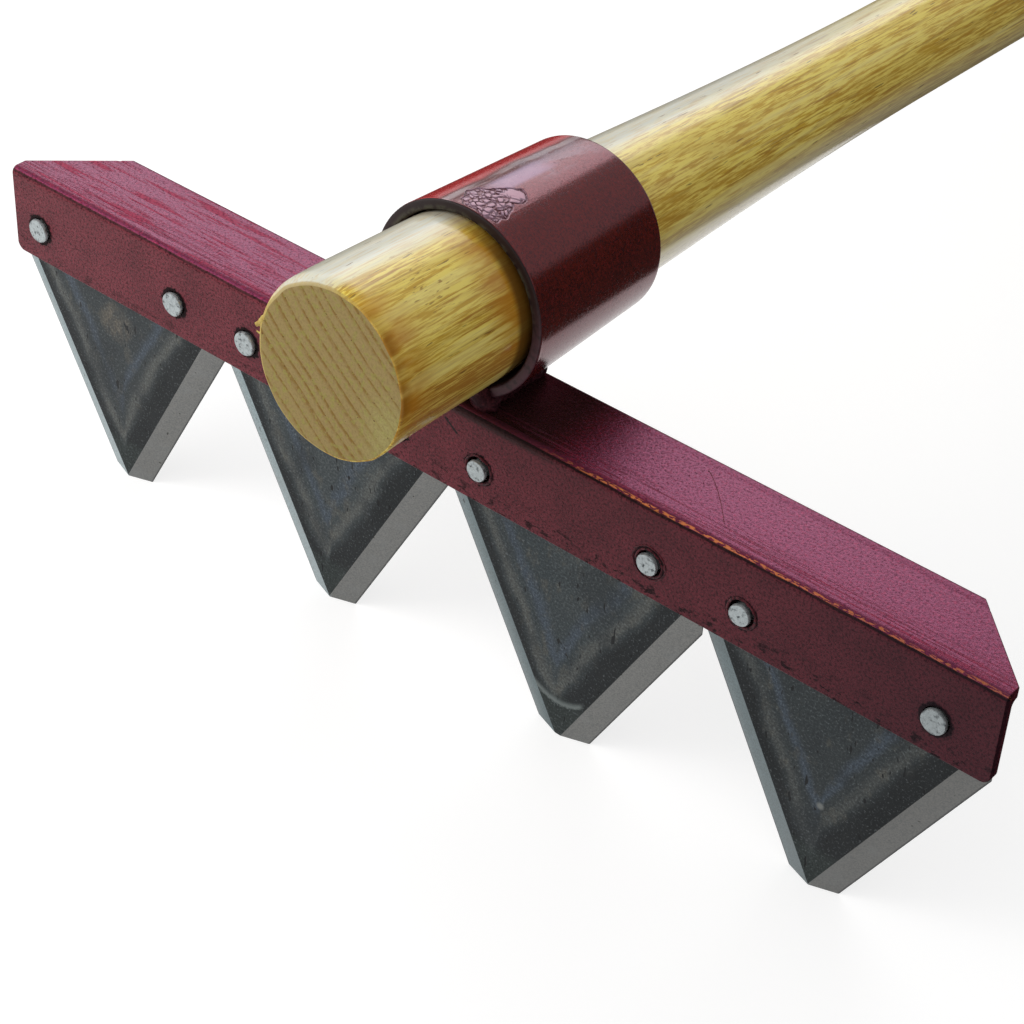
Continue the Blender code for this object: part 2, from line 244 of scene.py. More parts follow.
def wire(node, name, value):
    """Leads a reading into an input, or sets the input to a plain number or colour."""
    if isinstance(value, Reading):
        value.tree.links.new(value.socket, node.inputs[name])
    else:
        node.inputs[name].default_value = value


def add_node(tree, kind, inputs, **settings):
    """A shader node with its settings and inputs."""
    made = tree.nodes.new(kind)
    for name, value in settings.items():
        setattr(made, name, value)
    for name, value in inputs.items():
        wire(made, name, value)
    return made


def do_maths(operation, *values):
    """One step of arithmetic on readings and numbers."""
    tree = next(value.tree for value in values if isinstance(value, Reading))
    return Reading(add_node(tree, "ShaderNodeMath", dict(enumerate(values)), operation=operation).outputs[0])


def larger(first, *others):
    """The largest of several readings."""
    for other in others:
        first = do_maths("MAXIMUM", first, other)
    return first


def away(first, second):
    """How far a point is from the line on which both of its coordinates are nought."""
    return do_maths("SQRT", first * first + second * second)


def fade(value, start, end, low=0.0, high=1.0):
    """A value that goes smoothly from low to high as the other goes from start to end."""
    made = add_node(value.tree, "ShaderNodeMapRange", interpolation_type="SMOOTHSTEP", inputs={
        "Value": value, "From Min": start, "From Max": end, "To Min": low, "To Max": high})
    return Reading(made.outputs["Result"])


def blend(share, first, second):
    """A mix of two colours."""
    return Reading(add_node(share.tree, "ShaderNodeMix", {0: share, 6: first, 7: second},
                            data_type="RGBA").outputs[2])


def grain(place, lumps, detail=2.0, roughness=0.5):
    """Noise on a place. Its lumps to the metre are alike all ways, or given for each axis."""
    scale = lumps if isinstance(lumps, tuple) else (lumps, lumps, lumps)
    scaled = add_node(place.tree, "ShaderNodeMapping", {"Vector": place, "Scale": scale}, vector_type="POINT")
    made = add_node(place.tree, "ShaderNodeTexNoise", {
        "Vector": Reading(scaled.outputs[0]), "Scale": 1.0, "Detail": detail, "Roughness": roughness})
    return Reading(made.outputs[0])


def split(place):
    """The three coordinates of a place."""
    return [Reading(axis) for axis in add_node(place.tree, "ShaderNodeSeparateXYZ", {0: place}).outputs]


def distance_to(place, point):
    """How far a place is from a point."""
    return Reading(add_node(place.tree, "ShaderNodeVectorMath", {0: place, 1: point},
                            operation="DISTANCE").outputs["Value"])


def bench_place(shader, frame_of_piece=bench):
    """The point of the piece, in the frame it was shaped in."""
    coords = add_node(shader.id_data, "ShaderNodeTexCoord", {})
    mapped = add_node(shader.id_data, "ShaderNodeMapping", vector_type="TEXTURE", inputs={
        "Vector": Reading(coords.outputs["Object"]), "Location": frame_of_piece.translation,
        "Rotation": frame_of_piece.to_euler()})
    return Reading(mapped.outputs[0])


def new_group(name, inputs, outputs):
    """An empty node group, what comes into it by name, and the node that its outputs leave by."""
    group = bpy.data.node_groups.new(name, "ShaderNodeTree")
    for titles, way in ((inputs, "INPUT"), (outputs, "OUTPUT")):
        for title, kind in titles.items():
            group.interface.new_socket(title, in_out=way, socket_type="NodeSocket" + kind)
    entry = group.nodes.new("NodeGroupInput").outputs
    return group, {title: Reading(entry[title]) for title in inputs}, group.nodes.new("NodeGroupOutput")


def use_group(group, place, **inputs):
    """A group's outputs by name, with the group set to work on that place."""
    made = add_node(place.tree, "ShaderNodeGroup", {"Place": place, **inputs}, node_tree=group)
    return {socket.name: Reading(socket) for socket in made.outputs}


def new_finish(name, roughness=0.5, metallic=0.0, specular=0.5):
    """A Principled material with its fixed values."""
    material = bpy.data.materials.new(name)
    material.use_nodes = True
    shader = material.node_tree.nodes["Principled BSDF"]
    wire(shader, "Roughness", roughness)
    wire(shader, "Metallic", metallic)
    wire(shader, "Specular IOR Level", specular)
    return material, shader


def emboss(shader, height, distance):
    """Feeds a height to the shader as a bump."""
    bump = add_node(height.tree, "ShaderNodeBump", {"Height": height, "Distance": distance, "Strength": 1.0})
    wire(shader, "Normal", Reading(bump.outputs[0]))


# Brushed enamel: glossy and thin, with the pebble of dried brushing in it, streaks, sand and specks
enamel, enamel_in, enamel_out = new_group(
    "brushed_enamel",
    {"Place": "Vector", "Body": "Color", "Thick": "Color", "Lines": "Float", "Patches": "Float",
     "Specks": "Float"},
    {"Colour": "Color", "Dullness": "Float", "Height": "Float"})
place = enamel_in["Place"]
brush_lines = grain(place, (26, 1500, 1500), 3, 0.6)
clouds = grain(place, 90, 3)
patches = grain(place, (38, 620, 620), 4, 0.65)
pebbles = grain(place, 1500, 3, 0.75)
ripples = grain(place, (500, 900, 900), 2)
sand = grain(place, 1150, 3, 0.8)
dust = grain(place, (1700, 2000, 2000), 1)
line_mask = fade(brush_lines, 0.5, 0.62) * enamel_in["Lines"]
patch_mask = fade(patches, 0.49, 0.6) * enamel_in["Patches"]
thick_mask = larger(line_mask, patch_mask)
body = blend(fade(clouds, 0.35, 0.7, 0.0, 0.3), enamel_in["Body"], (0.012, 0.004, 0.004, 1))
body = blend(thick_mask, body, enamel_in["Thick"])
body = blend(fade(pebbles, 0.54, 0.4, 0.0, 0.75), body, (0.012, 0.003, 0.004, 1))
body = blend(fade(sand, 0.5, 0.64, 0.0, 0.6), body, enamel_in["Thick"])
speck_mask = fade(enamel_in["Specks"] * 0.12 + dust, 0.77, 0.82)
wire(enamel_out, "Colour", blend(speck_mask, body, (0.006, 0.004, 0.006, 1)))
dullness = line_mask * 0.5 + patch_mask * 0.3 + speck_mask * 0.4 + fade(pebbles, 0.55, 0.3) * 0.35
wire(enamel_out, "Dullness", dullness)
relief = pebbles * 2.2 + ripples * 1.2 + line_mask * 2.2 + patch_mask * 0.8 - speck_mask * 3.0
wire(enamel_out, "Height", relief)


def from_section_middle(along):
    """How far a point lies along the bar from the middle of its knife section."""
    shifted = along - (SECTION_SHIFT + SECTION_PITCH / 2)
    return do_maths("WRAP", shifted, SECTION_PITCH / 2, -SECTION_PITCH / 2)


def brush_bar(name, specular, tint, body, thick):
    """The bar's enamel with all its marks, in a copy for one kind of face tuned to how that face is lit:
    glossy on top, with hardly any gloss in front, where it is also grimy.
    """
    material, shader = new_finish(name, 0.3, specular=specular)
    wire(shader, "Specular Tint", tint)
    wire(shader, "IOR", 1.6)
    here = bench_place(shader)
    along, back, up = split(here)
    on_top = fade(back, 0.001, 0.0022)
    lines = on_top * fade(back, 0.0105, 0.0035) * 0.6
    far_left = fade(along, -0.02, -0.09) * on_top
    cluster_x = (along - 0.053) / 0.014
    cluster_y = (back - 0.0145) / 0.008
    cluster = fade(cluster_x * cluster_x + cluster_y * cluster_y, 1.6, 0.4) * on_top
    coat = use_group(enamel, here, Body=body, Thick=thick, Lines=lines, Patches=far_left, Specks=cluster)
    # The top leg and the bend beside the eye painted nearly black: painted shadow and painted reflection of
    # the eye
    painted_eye_shadow = fade(along, 0.038, 0.024) * fade(along, -0.03, -0.02) * 0.88 * fade(up, -0.0034, -0.0018)
    colour = blend(painted_eye_shadow, coat["Colour"], (0.017, 0.01, 0.008, 1))

    # Chipped enamel, grime and painted shade in a dark ring round each rivet, in the crevice by its head,
    # worked out from the nearest rivet's middle
    from_rivet = away(abs(from_section_middle(along)) - RIVET_SPACING / 2, up + RIVET_DROP)
    from_rivet = from_rivet + grain(here, 700, 2) * 0.0024 - 0.0012
    rivet_grime_and_shade = fade(from_rivet, 0.0047, 0.0041) * fade(back, 0.001, 0.0005)
    colour = blend(rivet_grime_and_shade, colour, (0.006, 0.003, 0.003, 1))

    # Grubby spots near the lower edge, and one dark scratch by the handle
    low_spots = (fade(grain(here, (220, 400, 420), 3, 0.65), 0.54, 0.62) * fade(up, -0.0165, -0.0225)
                 * fade(along, -0.05, 0.05, 0.4, 0.95))
    colour = blend(low_spots, colour, (0.012, 0.006, 0.006, 1))
    scratch_along = (along - 0.0015) * 0.8 + (up + 0.0068) * -0.6
    scratch_off = (along - 0.0015) * 0.6 + (up + 0.0068) * 0.8
    scratch = (fade(abs(scratch_along), 0.0027, 0.0023) * fade(abs(scratch_off), 0.00045, 0.00025)
               * fade(back, 0.001, 0.0005))
    colour = blend(scratch, colour, (0.01, 0.006, 0.006, 1))

    # Along the bend the enamel has worn through on the right, to rust and bright rust dashes
    round_bend = do_maths("ARCTAN2", up + HEEL_RADIUS, HEEL_RADIUS - back)
    bend = round_bend + grain(here, (90, 300, 300), 2) * 0.4 - 0.2
    on_bend = fade(back, 0.0022, 0.0016) * fade(up, -0.0022, -0.0016)
    worn = fade(bend, 0.72, 0.84) * fade(bend, 1.25, 1.1) * on_bend * fade(along, 0.025, 0.05)
    dashes = fade(grain(here, (650, 2600, 2600), 2), 0.45, 0.55)
    rust = blend(dashes, (0.07, 0.016, 0.008, 1), (0.8, 0.27, 0.045, 1))
    colour = blend(worn * fade(dashes, 0.0, 0.5, 0.45, 1.0), colour, rust)

    # A dark line below the worn one and along the rear arris, and the front painted darker towards the right
    # as painted shade
    dark_arris_lines = fade(bend, 0.8, 0.68) * fade(bend, 0.3, 0.5) * on_bend * fade(along, -0.02, 0.05, 0.75, 1.0)
    rear_arris = fade(back, TOP_LEG_DEPTH - 0.0008, TOP_LEG_DEPTH - 0.0003) * 0.9
    dark_arris_lines = larger(dark_arris_lines, rear_arris) * fade(grain(here, (40, 500, 500), 3), 0.25, 0.5, 0.45, 0.95)
    colour = blend(dark_arris_lines, colour, (0.01, 0.006, 0.006, 1))
    # Painted shade: the front darker towards the right end
    painted_shade_to_right = ((fade(along, -0.04, 0.15, 0.0, 0.4) + fade(along, 0.07, 0.15, 0.0, 0.2))
                 * fade(back, 0.0022, 0.001))
    colour = blend(painted_shade_to_right, colour, (0.012, 0.008, 0.012, 1))
    wire(shader, "Base Color", colour)
    marks = larger(rivet_grime_and_shade, dark_arris_lines, worn, low_spots, on_bend * 0.6)
    wire(shader, "Roughness", coat["Dullness"] + marks * 0.4 + 0.2)
    emboss(shader, coat["Height"], 0.00003)
    return material


# A bristle of the brush, caught in the enamel on the top leg
select_only()
bpy.ops.curve.primitive_nurbs_path_add(location=(0, 0, 0))
bristle = bpy.context.object
bristle.name = "caught_bristle"
bristle_points = ((0.0612, 0.0196), (0.0602, 0.0208), (0.0640, 0.0182), (0.0690, 0.0140), (0.0752, 0.0066))
for point, (x, y) in zip(bristle.data.splines[0].points, bristle_points):
    point.co = (x, y, 0.00002, 1)
bristle.data.bevel_depth = 0.00009
bristle.data.bevel_resolution = 1
bristle.data.use_fill_caps = True
select_only(bristle)
bpy.ops.object.convert(target="MESH")
open_up(bristle)
bpy.ops.mesh.select_all(action="SELECT")
bpy.ops.mesh.remove_doubles(threshold=1e-6)
select_only(bristle)
bristle_finish, shader = new_finish("painted_bristle", 0.5)
here = bench_place(shader)
colour = blend(grain(here, 300), (0.1, 0.006, 0.016, 1), (0.2, 0.012, 0.03, 1))
wire(shader, "Base Color", colour)
bristle.data.materials.append(bristle_finish)
lay_down(bristle, bench, "head", "maroon_paint")

# One enamel in three copies by face, each tuned to how that face is lit: dark in body with a strong
# pink-tinted gloss on top, lighter in body with hardly any gloss in front, and without gloss on the sawn ends
for coat_of_face in (
        ("top_enamel", 1.0, (1.0, 0.155, 0.47, 1), (0.064, 0.008, 0.011, 1), (0.27, 0.008, 0.022, 1)),
        ("front_enamel", 0.1, (1.0, 0.5, 0.6, 1), (0.190, 0.037, 0.050, 1), (0.25, 0.045, 0.06, 1)),
        ("end_enamel", 0.0, (1.0, 0.5, 0.6, 1), (0.075, 0.016, 0.024, 1), (0.13, 0.03, 0.04, 1))):
    angle_bar.data.materials.append(brush_bar(*coat_of_face))
for face in angle_bar.data.polygons:
    below_bend = face.center.z < -HEEL_RADIUS * 0.3 and face.normal.z < 0.7
    face.material_index = 2 if abs(face.normal.x) > 0.3 else int(below_bend)
lay_down(angle_bar, bench, "head", "maroon_paint", "angle_bar")

# Knife sections: spare parts for a mower's cutter bar, flat heat-treated steel with a square heel,
# a cut-off tip and both sides ground to an edge. Two rivets hold each behind the front leg.
SECTION_GAP = 0.0003
SECTION_FRONT = LEG_THICKNESS + SECTION_GAP
SECTION_THICKNESS = 0.0025
HEEL_DROP = LEG_THICKNESS + INSIDE_RADIUS + SECTION_GAP
SHOULDER_DROP = 0.0288
TIP_DROP = 0.0849
TIP_WIDTH = 0.0142
BEVEL_WIDTH = 0.0064
TIP_ROUNDING = 0.00016
TIP_SHAVING = 0.000005
SECTION_ARRIS = 0.0001
SECTION_WIDTH = SECTION_PITCH - SECTION_GAP
WIDE_EDGE = 0.0021

run = (TIP_WIDTH - SECTION_WIDTH) / 2
fall = SHOULDER_DROP - TIP_DROP
slope_length = math.hypot(run, fall)


def grind_section(left, right):
    """A section on the bench, its cutting edges that far from the middle at the tip."""
    select_only()
    bpy.ops.mesh.primitive_cube_add(
        size=1, scale=(SECTION_WIDTH, SECTION_THICKNESS, TIP_DROP - HEEL_DROP),
        location=(0, SECTION_FRONT + SECTION_THICKNESS / 2, -(HEEL_DROP + TIP_DROP) / 2))
    section = take_up("knife_pattern")
    open_up(section)
    for side, reach in ((-1, left), (1, right)):
        cutting_edge = (side * reach, SECTION_FRONT + SECTION_THICKNESS, -TIP_DROP)
        outward = Vector((-side * fall / slope_length, 0, run / slope_length))
        slice_off(cutting_edge, outward)
        slice_off(cutting_edge, outward * SECTION_THICKNESS + Vector((0, -BEVEL_WIDTH, 0)))
    select_only(section)
    drill(section, (-RIVET_SPACING / 2, RIVET_SPACING / 2))
    soften(section, SECTION_ARRIS, 2)
    open_up(section)
    for side, reach in ((-1, left), (1, right)):
        edge_out = Vector((-side * fall / slope_length, 0, run / slope_length))
        for share in (1 / 3, 2 / 3):
            outward = Vector((0, 0, -1)).lerp(edge_out, share).normalized()
            slice_off(Vector((side * reach, 0, -TIP_DROP)) - outward * TIP_ROUNDING, outward)
    slice_off((0, 0, TIP_SHAVING - TIP_DROP), (0, 0, -1))
    select_only(section)
    finish_with(section, "WEIGHTED_NORMAL", keep_sharp=True, weight=80)
    return section


pattern = grind_section(TIP_WIDTH / 2, TIP_WIDTH / 2)
wide_pattern = grind_section(TIP_WIDTH / 2, TIP_WIDTH / 2 + WIDE_EDGE)


def measure_in(along, up):
    """How far a point lies in from its section's cutting edge, and whether it lies on the right."""
    across = from_section_middle(along)
    half_width = (up + TIP_DROP) * (run / fall) + TIP_WIDTH / 2
    wide = (fade(along, section_middles[2], section_middles[2] + 0.001)
            * fade(along, section_middles[3] - 0.036, section_middles[3] - 0.037))
    return half_width + wide * WIDE_EDGE - abs(across), fade(across, -0.001, 0.001)


dark_steel, shader = new_finish("heat_treated_steel", 0.42, 0.5, 0.3)
here = bench_place(shader)
along, back, up = split(here)
from_edge, on_right = measure_in(along, up)
waver = grain(here, 60, 2) * 0.008 - 0.004
from_band = from_edge - BEVEL_WIDTH + waver - (on_right * 0.0035 + 0.0042)
edge_dark = fade(from_band, 0.0022, -0.002)
smears = grain(here, (70, 200, 45), 4, 0.6)
mottle = grain(here, 1500, 3, 0.75)
blotches = grain(here, (240, 240, 160), 3, 0.65)
colour = blend(fade(smears, 0.35, 0.7), (0.037, 0.05, 0.055, 1), (0.068, 0.082, 0.085, 1))
# The outer sections painted darker: painted shade
painted_outer_shade = fade(abs(along), 0.065, 0.09, 0.0, 0.5)
colour = blend(painted_outer_shade, colour, (0.02, 0.024, 0.025, 1))
contour = (fade(from_band, 0.0, 0.0025) * fade(from_band, 0.006, 0.0025)
           * fade(along, 0.06, 0.09, 0.8, 0.45))
colour = blend(contour, colour, (0.12, 0.125, 0.115, 1))
second_contour = fade(from_band, 0.0065, 0.009) * fade(from_band, 0.0125, 0.009)
colour = blend(second_contour * 0.7, colour, (0.07, 0.095, 0.13, 1))
colour = blend(fade(blotches, 0.52, 0.7, 0.0, 0.5), colour, (0.12, 0.115, 0.095, 1))
scale_spot = distance_to(here, (-0.118, SECTION_FRONT, -0.035))
scale_mask = fade(scale_spot, 0.0075, 0.003) * fade(blotches, 0.4, 0.6, 0.2, 0.9)
colour = blend(scale_mask, colour, (0.15, 0.13, 0.1, 1))
shade = fade(grain(here, (75, 75, 60), 3, 0.6), 0.48, 0.66, 0.0, 0.65)
colour = blend(shade, colour, (0.02, 0.026, 0.03, 1))
colour = blend(edge_dark * 0.92, colour, (0.01, 0.012, 0.013, 1))
near_tip = fade(up, -0.071, -0.075)
colour = blend(near_tip * 0.5, colour, (0.05, 0.066, 0.06, 1))
colour = blend(fade(mottle, 0.35, 0.62, 0.65, 0.0), colour, (0.01, 0.012, 0.014, 1))
colour = blend(fade(mottle, 0.55, 0.72, 0.0, 0.6), colour, (0.17, 0.19, 0.2, 1))

# A pale wiped arc above the tip, a rubbed spot, and pits like short dashes that run down the steel
across = along - (SECTION_SHIFT + SECTION_PITCH / 2 + 0.0002)
from_arc = up - (across * across * 48.0 - 0.0748) + mottle * 0.0016 - 0.0008
arc = fade(from_arc, -0.0009, 0.0) * fade(from_arc, 0.0018, 0.0) * fade(across * across, 0.00007, 0.00004)
colour = blend(arc * 0.75, colour, (0.2, 0.23, 0.225, 1))
rubbed = distance_to(here, (0.1117, SECTION_FRONT, -0.0596))
colour = blend(fade(rubbed, 0.0014, 0.0004, 0.0, 0.8), colour, (0.2, 0.21, 0.2, 1))
pits = fade(grain(here, (800, 800, 300), 1), 0.7, 0.74)
colour = blend(pits, colour, (0.006, 0.007, 0.008, 1))
wire(shader, "Base Color", colour)
wire(shader, "Roughness", fade(smears, 0.3, 0.7) * 0.12 + edge_dark * 0.12 + 0.36)
emboss(shader, mottle - pits, 0.00003)

ground_steel, shader = new_finish("ground_steel", 0.36, 0.8)
here = bench_place(shader)
along, back, up = split(here)
from_edge, on_right = measure_in(along, up)
fine = grain(here, (2400, 900, 2400), 3, 0.75)
patches = grain(here, 150, 2)
# The bevels are ground alike; the left one is painted paler and bluer than the right one as painted
# reflection
colour = blend(on_right, (0.31, 0.39, 0.41, 1), (0.2, 0.198, 0.19, 1))
colour = blend(fade(fine, 0.35, 0.62, 0.6, 0.0), colour, (0.09, 0.1, 0.1, 1))
colour = blend(fade(patches, 0.5, 0.8, 0.0, 0.35), colour, (0.2, 0.21, 0.21, 1))
nicks = fade(grain(here, 520, 1), 0.74, 0.78)
colour = blend(nicks, colour, (0.05, 0.05, 0.045, 1))
# Painted shade: the bevels darker towards the right end, and the left bevels darker towards the right
colour = blend(fade(along, 0.08, 0.13, 0.0, 0.3), colour, (0.09, 0.09, 0.088, 1))
painted_left_bevel_shade = (1.0 - on_right) * fade(along, -0.07, 0.03, 0.0, 0.62)
colour = blend(painted_left_bevel_shade, colour, (0.075, 0.095, 0.1, 1))
colour = blend(fade(from_edge, 0.0007, 0.0002, 0.0, 0.75), colour, (0.03, 0.032, 0.034, 1))
wire(shader, "Base Color", colour)
emboss(shader, fine, 0.000015)

for ground in (pattern, wide_pattern):
    ground.data.materials.append(dark_steel)
    ground.data.materials.append(ground_steel)
    for face in ground.data.polygons:
        sloping = 0.15 < math.hypot(face.normal.x, face.normal.z) and face.normal.y < -0.5
        face.material_index = int(sloping)
for index, middle in enumerate(section_middles):
    section = wide_pattern.copy() if index == 2 else pattern.copy()
    section.data = section.data.copy()
    section.name = f"knife_{index + 1}"
    section.location = (middle, 0, 0)
    bpy.context.scene.collection.objects.link(section)
    lay_down(section, bench, "head", "blade_steel", f"knife_section_{index + 1}")
bpy.data.objects.remove(pattern)
bpy.data.objects.remove(wide_pattern)

# Rivets: soft bright steel, pushed through from behind where they have a domed head, and hammered
# flat in front after the bar was painted. Some have squeezed up a lip of enamel round them.
RIVET_HEAD_RADIUS = 0.0037
RIVET_FACE_RADIUS = 0.0031
RIVET_HEAD_HEIGHT = 0.001
RIVET_HEAD_TAPER = 0.95
REAR_HEAD_RADIUS = 0.0048
REAR_HEAD_HEIGHT = 0.0016
SECTION_BACK = SECTION_FRONT + SECTION_THICKNESS
SMALL_HEADS = (4, 5, 6)
SMALL_HEAD_SCALE = 0.76
HEAD_SCALE = 0.88

select_only()
shank_front = -SECTION_GAP
shank_back = SECTION_BACK + SECTION_GAP
bpy.ops.mesh.primitive_cylinder_add(
    vertices=40, radius=RIVET_SHANK_RADIUS, depth=shank_back - shank_front,
    location=(0, (shank_front + shank_back) / 2, 0), rotation=(math.pi / 2, 0, 0))
rivet_pattern = take_up("rivet_pattern")
open_up(rivet_pattern)


def widen(factor):
    """Resizes what is selected round the piece's axis."""
    bpy.ops.transform.resize(value=(factor, 1, factor), center_override=(0, 0, 0))


pick("FACE", lambda p: near(p.y, shank_front))
draw_out(0, 0, 0)
widen(RIVET_HEAD_RADIUS / RIVET_SHANK_RADIUS)
draw_out(0, -RIVET_HEAD_HEIGHT * 0.55, 0)
draw_out(0, -RIVET_HEAD_HEIGHT * 0.3, 0)
widen(RIVET_HEAD_TAPER)
draw_out(0, -RIVET_HEAD_HEIGHT * 0.15, 0)
widen(RIVET_FACE_RADIUS / RIVET_HEAD_RADIUS / RIVET_HEAD_TAPER)
for ring in range(9):
    bpy.ops.mesh.inset(thickness=RIVET_FACE_RADIUS / 10)
bpy.ops.mesh.poke()
pick("FACE", lambda p: near(p.y, shank_back))
draw_out(0, 0, 0)
widen(REAR_HEAD_RADIUS / RIVET_SHANK_RADIUS)
for step in range(1, 8):
    before, after = (math.pi / 2 * (step + shift) / 8 for shift in (-1, 0))
    rise = REAR_HEAD_HEIGHT * (math.sin(after) - math.sin(before))
    draw_out(0, rise, 0)
    widen(math.cos(after) / math.cos(before))
bpy.ops.mesh.poke()
select_only(rivet_pattern)

bright_steel, shader = new_finish("hammered_steel", 0.4, 0.6)
here = bench_place(shader)
dents = grain(here, 800, 3, 0.6)
scuffs = grain(here, 2200, 2, 0.6)
colour = blend(fade(dents, 0.3, 0.5), (0.045, 0.055, 0.06, 1), (0.42, 0.465, 0.475, 1))
colour = blend(fade(scuffs, 0.55, 0.4, 0.0, 0.4), colour, (0.3, 0.32, 0.33, 1))
# Painted shade: the rivets darker towards the right end
along = split(here)[0]
colour = blend(fade(along, 0.08, 0.13, 0.0, 0.35), colour, (0.16, 0.18, 0.19, 1))
wire(shader, "Base Color", colour)
emboss(shader, dents, 0.00012)
rivet_pattern.data.materials.append(bright_steel)
face_front = shank_front - RIVET_HEAD_HEIGHT
for index, x in enumerate(rivet_places):
    rivet = rivet_pattern.copy()
    rivet.data = rivet_pattern.data.copy()
    rivet.name = f"hammered_rivet_{index + 1}"
    for vertex in rivet.data.vertices:
        if vertex.co.y < face_front + 0.0001:
            blow = noise.noise(Vector((vertex.co.x * 600, index * 7.3, vertex.co.z * 600)))
            vertex.co.y += 0.00012 + 0.00022 * blow
        if vertex.co.y < shank_front + 1e-6:
            lopsided = 1 + 0.05 * noise.noise(Vector((vertex.co.x * 250, index * 3.1, vertex.co.z * 250)))
            scale = lopsided * (SMALL_HEAD_SCALE if index in SMALL_HEADS else HEAD_SCALE)
            vertex.co.x *= scale
            vertex.co.z *= scale
    rivet.location = (x, 0, -RIVET_DROP)
    bpy.context.scene.collection.objects.link(rivet)
    select_only(rivet)
    bpy.ops.object.shade_smooth_by_angle(angle=math.radians(40))
    lay_down(rivet, bench, "head", "rivet_steel", f"rivet_{index + 1}")
bpy.data.objects.remove(rivet_pattern)

lip_enamel, shader = new_finish("squeezed_enamel", 0.4, specular=0.2)
wire(shader, "Specular Tint", (1.0, 0.5, 0.6, 1))
here = bench_place(shader)
crumbs = grain(here, 1300, 2, 0.6)
colour = blend(fade(crumbs, 0.35, 0.6), (0.012, 0.005, 0.006, 1), (0.1, 0.02, 0.026, 1))
wire(shader, "Base Color", colour)
emboss(shader, crumbs, 0.00005)
for number, rivet_index, lip_radius, lip_thickness in (
        (1, 4, 0.0038, 0.00036), (2, 5, 0.0036, 0.0003), (3, 5, 0.0045, 0.00024), (4, 6, 0.0038, 0.00038)):
    select_only()
    bpy.ops.mesh.primitive_torus_add(
        major_segments=72, minor_segments=10, major_radius=lip_radius, minor_radius=lip_thickness,
        location=(0, 0, 0), rotation=(math.pi / 2, 0, 0))
    lip = take_up(f"enamel_lip_{number}")
    for vertex in lip.data.vertices:
        wander = noise.noise(Vector((vertex.co.x * 320, number * 5.7, vertex.co.z * 320)))
        swell = noise.noise(Vector((vertex.co.x * 700, number * 2.3, vertex.co.z * 700)))
        vertex.co.x *= 1 + 0.07 * wander
        vertex.co.z *= 1 + 0.07 * wander
        vertex.co.y *= 1 + 0.8 * swell
    lip.location = (rivet_places[rivet_index], 0.00005, -RIVET_DROP)
    bpy.ops.object.shade_smooth()
    lip.data.materials.append(lip_enamel)
    lay_down(lip, bench, "head", "maroon_paint")

# The eye: a short swaged tube that narrows towards the back, painted with the bar after it was
# welded down along the top leg. Its rims are rubbed round and its paint wrinkled near the mouth.
EYE_FRONT = 0.0038
EYE_LENGTH = 0.049
EYE_FRONT_RADIUS = 0.0245
EYE_REAR_RADIUS = 0.0226
EYE_FRONT_BORE = 0.0218
EYE_REAR_BORE = 0.0192
EYE_SHIFT = -0.0017
EYE_YAW = math.radians(1.7)
EYE_RIM_ROUNDING = 0.0006
EYE_SEAT = 0.0003
EYE_PITCH = math.asin((EYE_FRONT_RADIUS - EYE_REAR_RADIUS) / EYE_LENGTH)
WRINKLE_DEPTH = 0.0003
WRINKLE_CELL = 0.0015
PATCH_BACK = 0.0175
PATCH_DEGREES = (-14, 23)
WRINKLE_OUTLINE = (
    (-1.2, 1.8), (-2.8, 4.0), (-4.4, 7.2), (-3.4, 9.4), (-0.6, 11.4), (1.6, 14.6), (3.8, 16.4), (6.0, 16.4),
    (7.4, 14.8), (7.2, 12.6), (6.4, 10.6), (8.2, 8.6), (8.9, 5.0), (8.4, 1.8), (5.4, 0.6))

height = EYE_FRONT_RADIUS / math.cos(EYE_PITCH) + EYE_SEAT
height -= EYE_FRONT_RADIUS * math.sin(EYE_PITCH) * math.tan(EYE_PITCH)
eye_turn = Matrix.Rotation(EYE_YAW, 4, "Z") @ Matrix.Rotation(-EYE_PITCH, 4, "X")
eye_place = bench @ Matrix.Translation((EYE_SHIFT, EYE_FRONT, height)) @ eye_turn


def turn_profile(name, sides, stations):
    """A piece turned about the Y axis, drawn out ring by ring to each station's radius and distance."""
    select_only()
    bpy.ops.mesh.primitive_circle_add(vertices=sides, radius=stations[0][0], fill_type="NOTHING",
                                      location=(0, stations[0][1], 0), rotation=(math.pi / 2, 0, 0))
    piece = take_up(name)
    open_up(piece)
    bpy.ops.mesh.select_mode(type="EDGE")
    bpy.ops.mesh.select_all(action="SELECT")
    for (radius, distance), (next_radius, next_distance) in zip(stations, stations[1:]):
        bpy.ops.mesh.extrude_edges_move(TRANSFORM_OT_translate={"value": (0, next_distance - distance, 0)})
        widen(next_radius / radius)
    return piece


rim = EYE_RIM_ROUNDING
turns = [math.radians(degrees) for degrees in (0, 22.5, 45, 67.5, 90)]
quarter = [(1 - math.sin(turn), 1 - math.cos(turn)) for turn in turns]
eye_stations = [(EYE_FRONT_BORE + rim, 0)]
eye_stations += [(EYE_FRONT_RADIUS - rim * inward, rim * onward) for inward, onward in quarter]
for ring in range(1, 60):
    share = ring / 60
    eye_stations.append((EYE_FRONT_RADIUS + (EYE_REAR_RADIUS - EYE_FRONT_RADIUS) * share, EYE_LENGTH * share))
eye_stations += [(EYE_REAR_RADIUS - rim * inward, EYE_LENGTH - rim * onward) for onward, inward in quarter]
eye_stations += [(EYE_REAR_BORE + rim * outward, EYE_LENGTH - rim * onward) for outward, onward in quarter]
eye_stations += [(EYE_FRONT_BORE + rim * outward, rim * onward) for onward, outward in quarter]
eye = turn_profile("taper_eye", 144, eye_stations)
bpy.ops.mesh.select_all(action="SELECT")
bpy.ops.mesh.remove_doubles(threshold=1e-6)
bpy.ops.mesh.normals_make_consistent(inside=False)


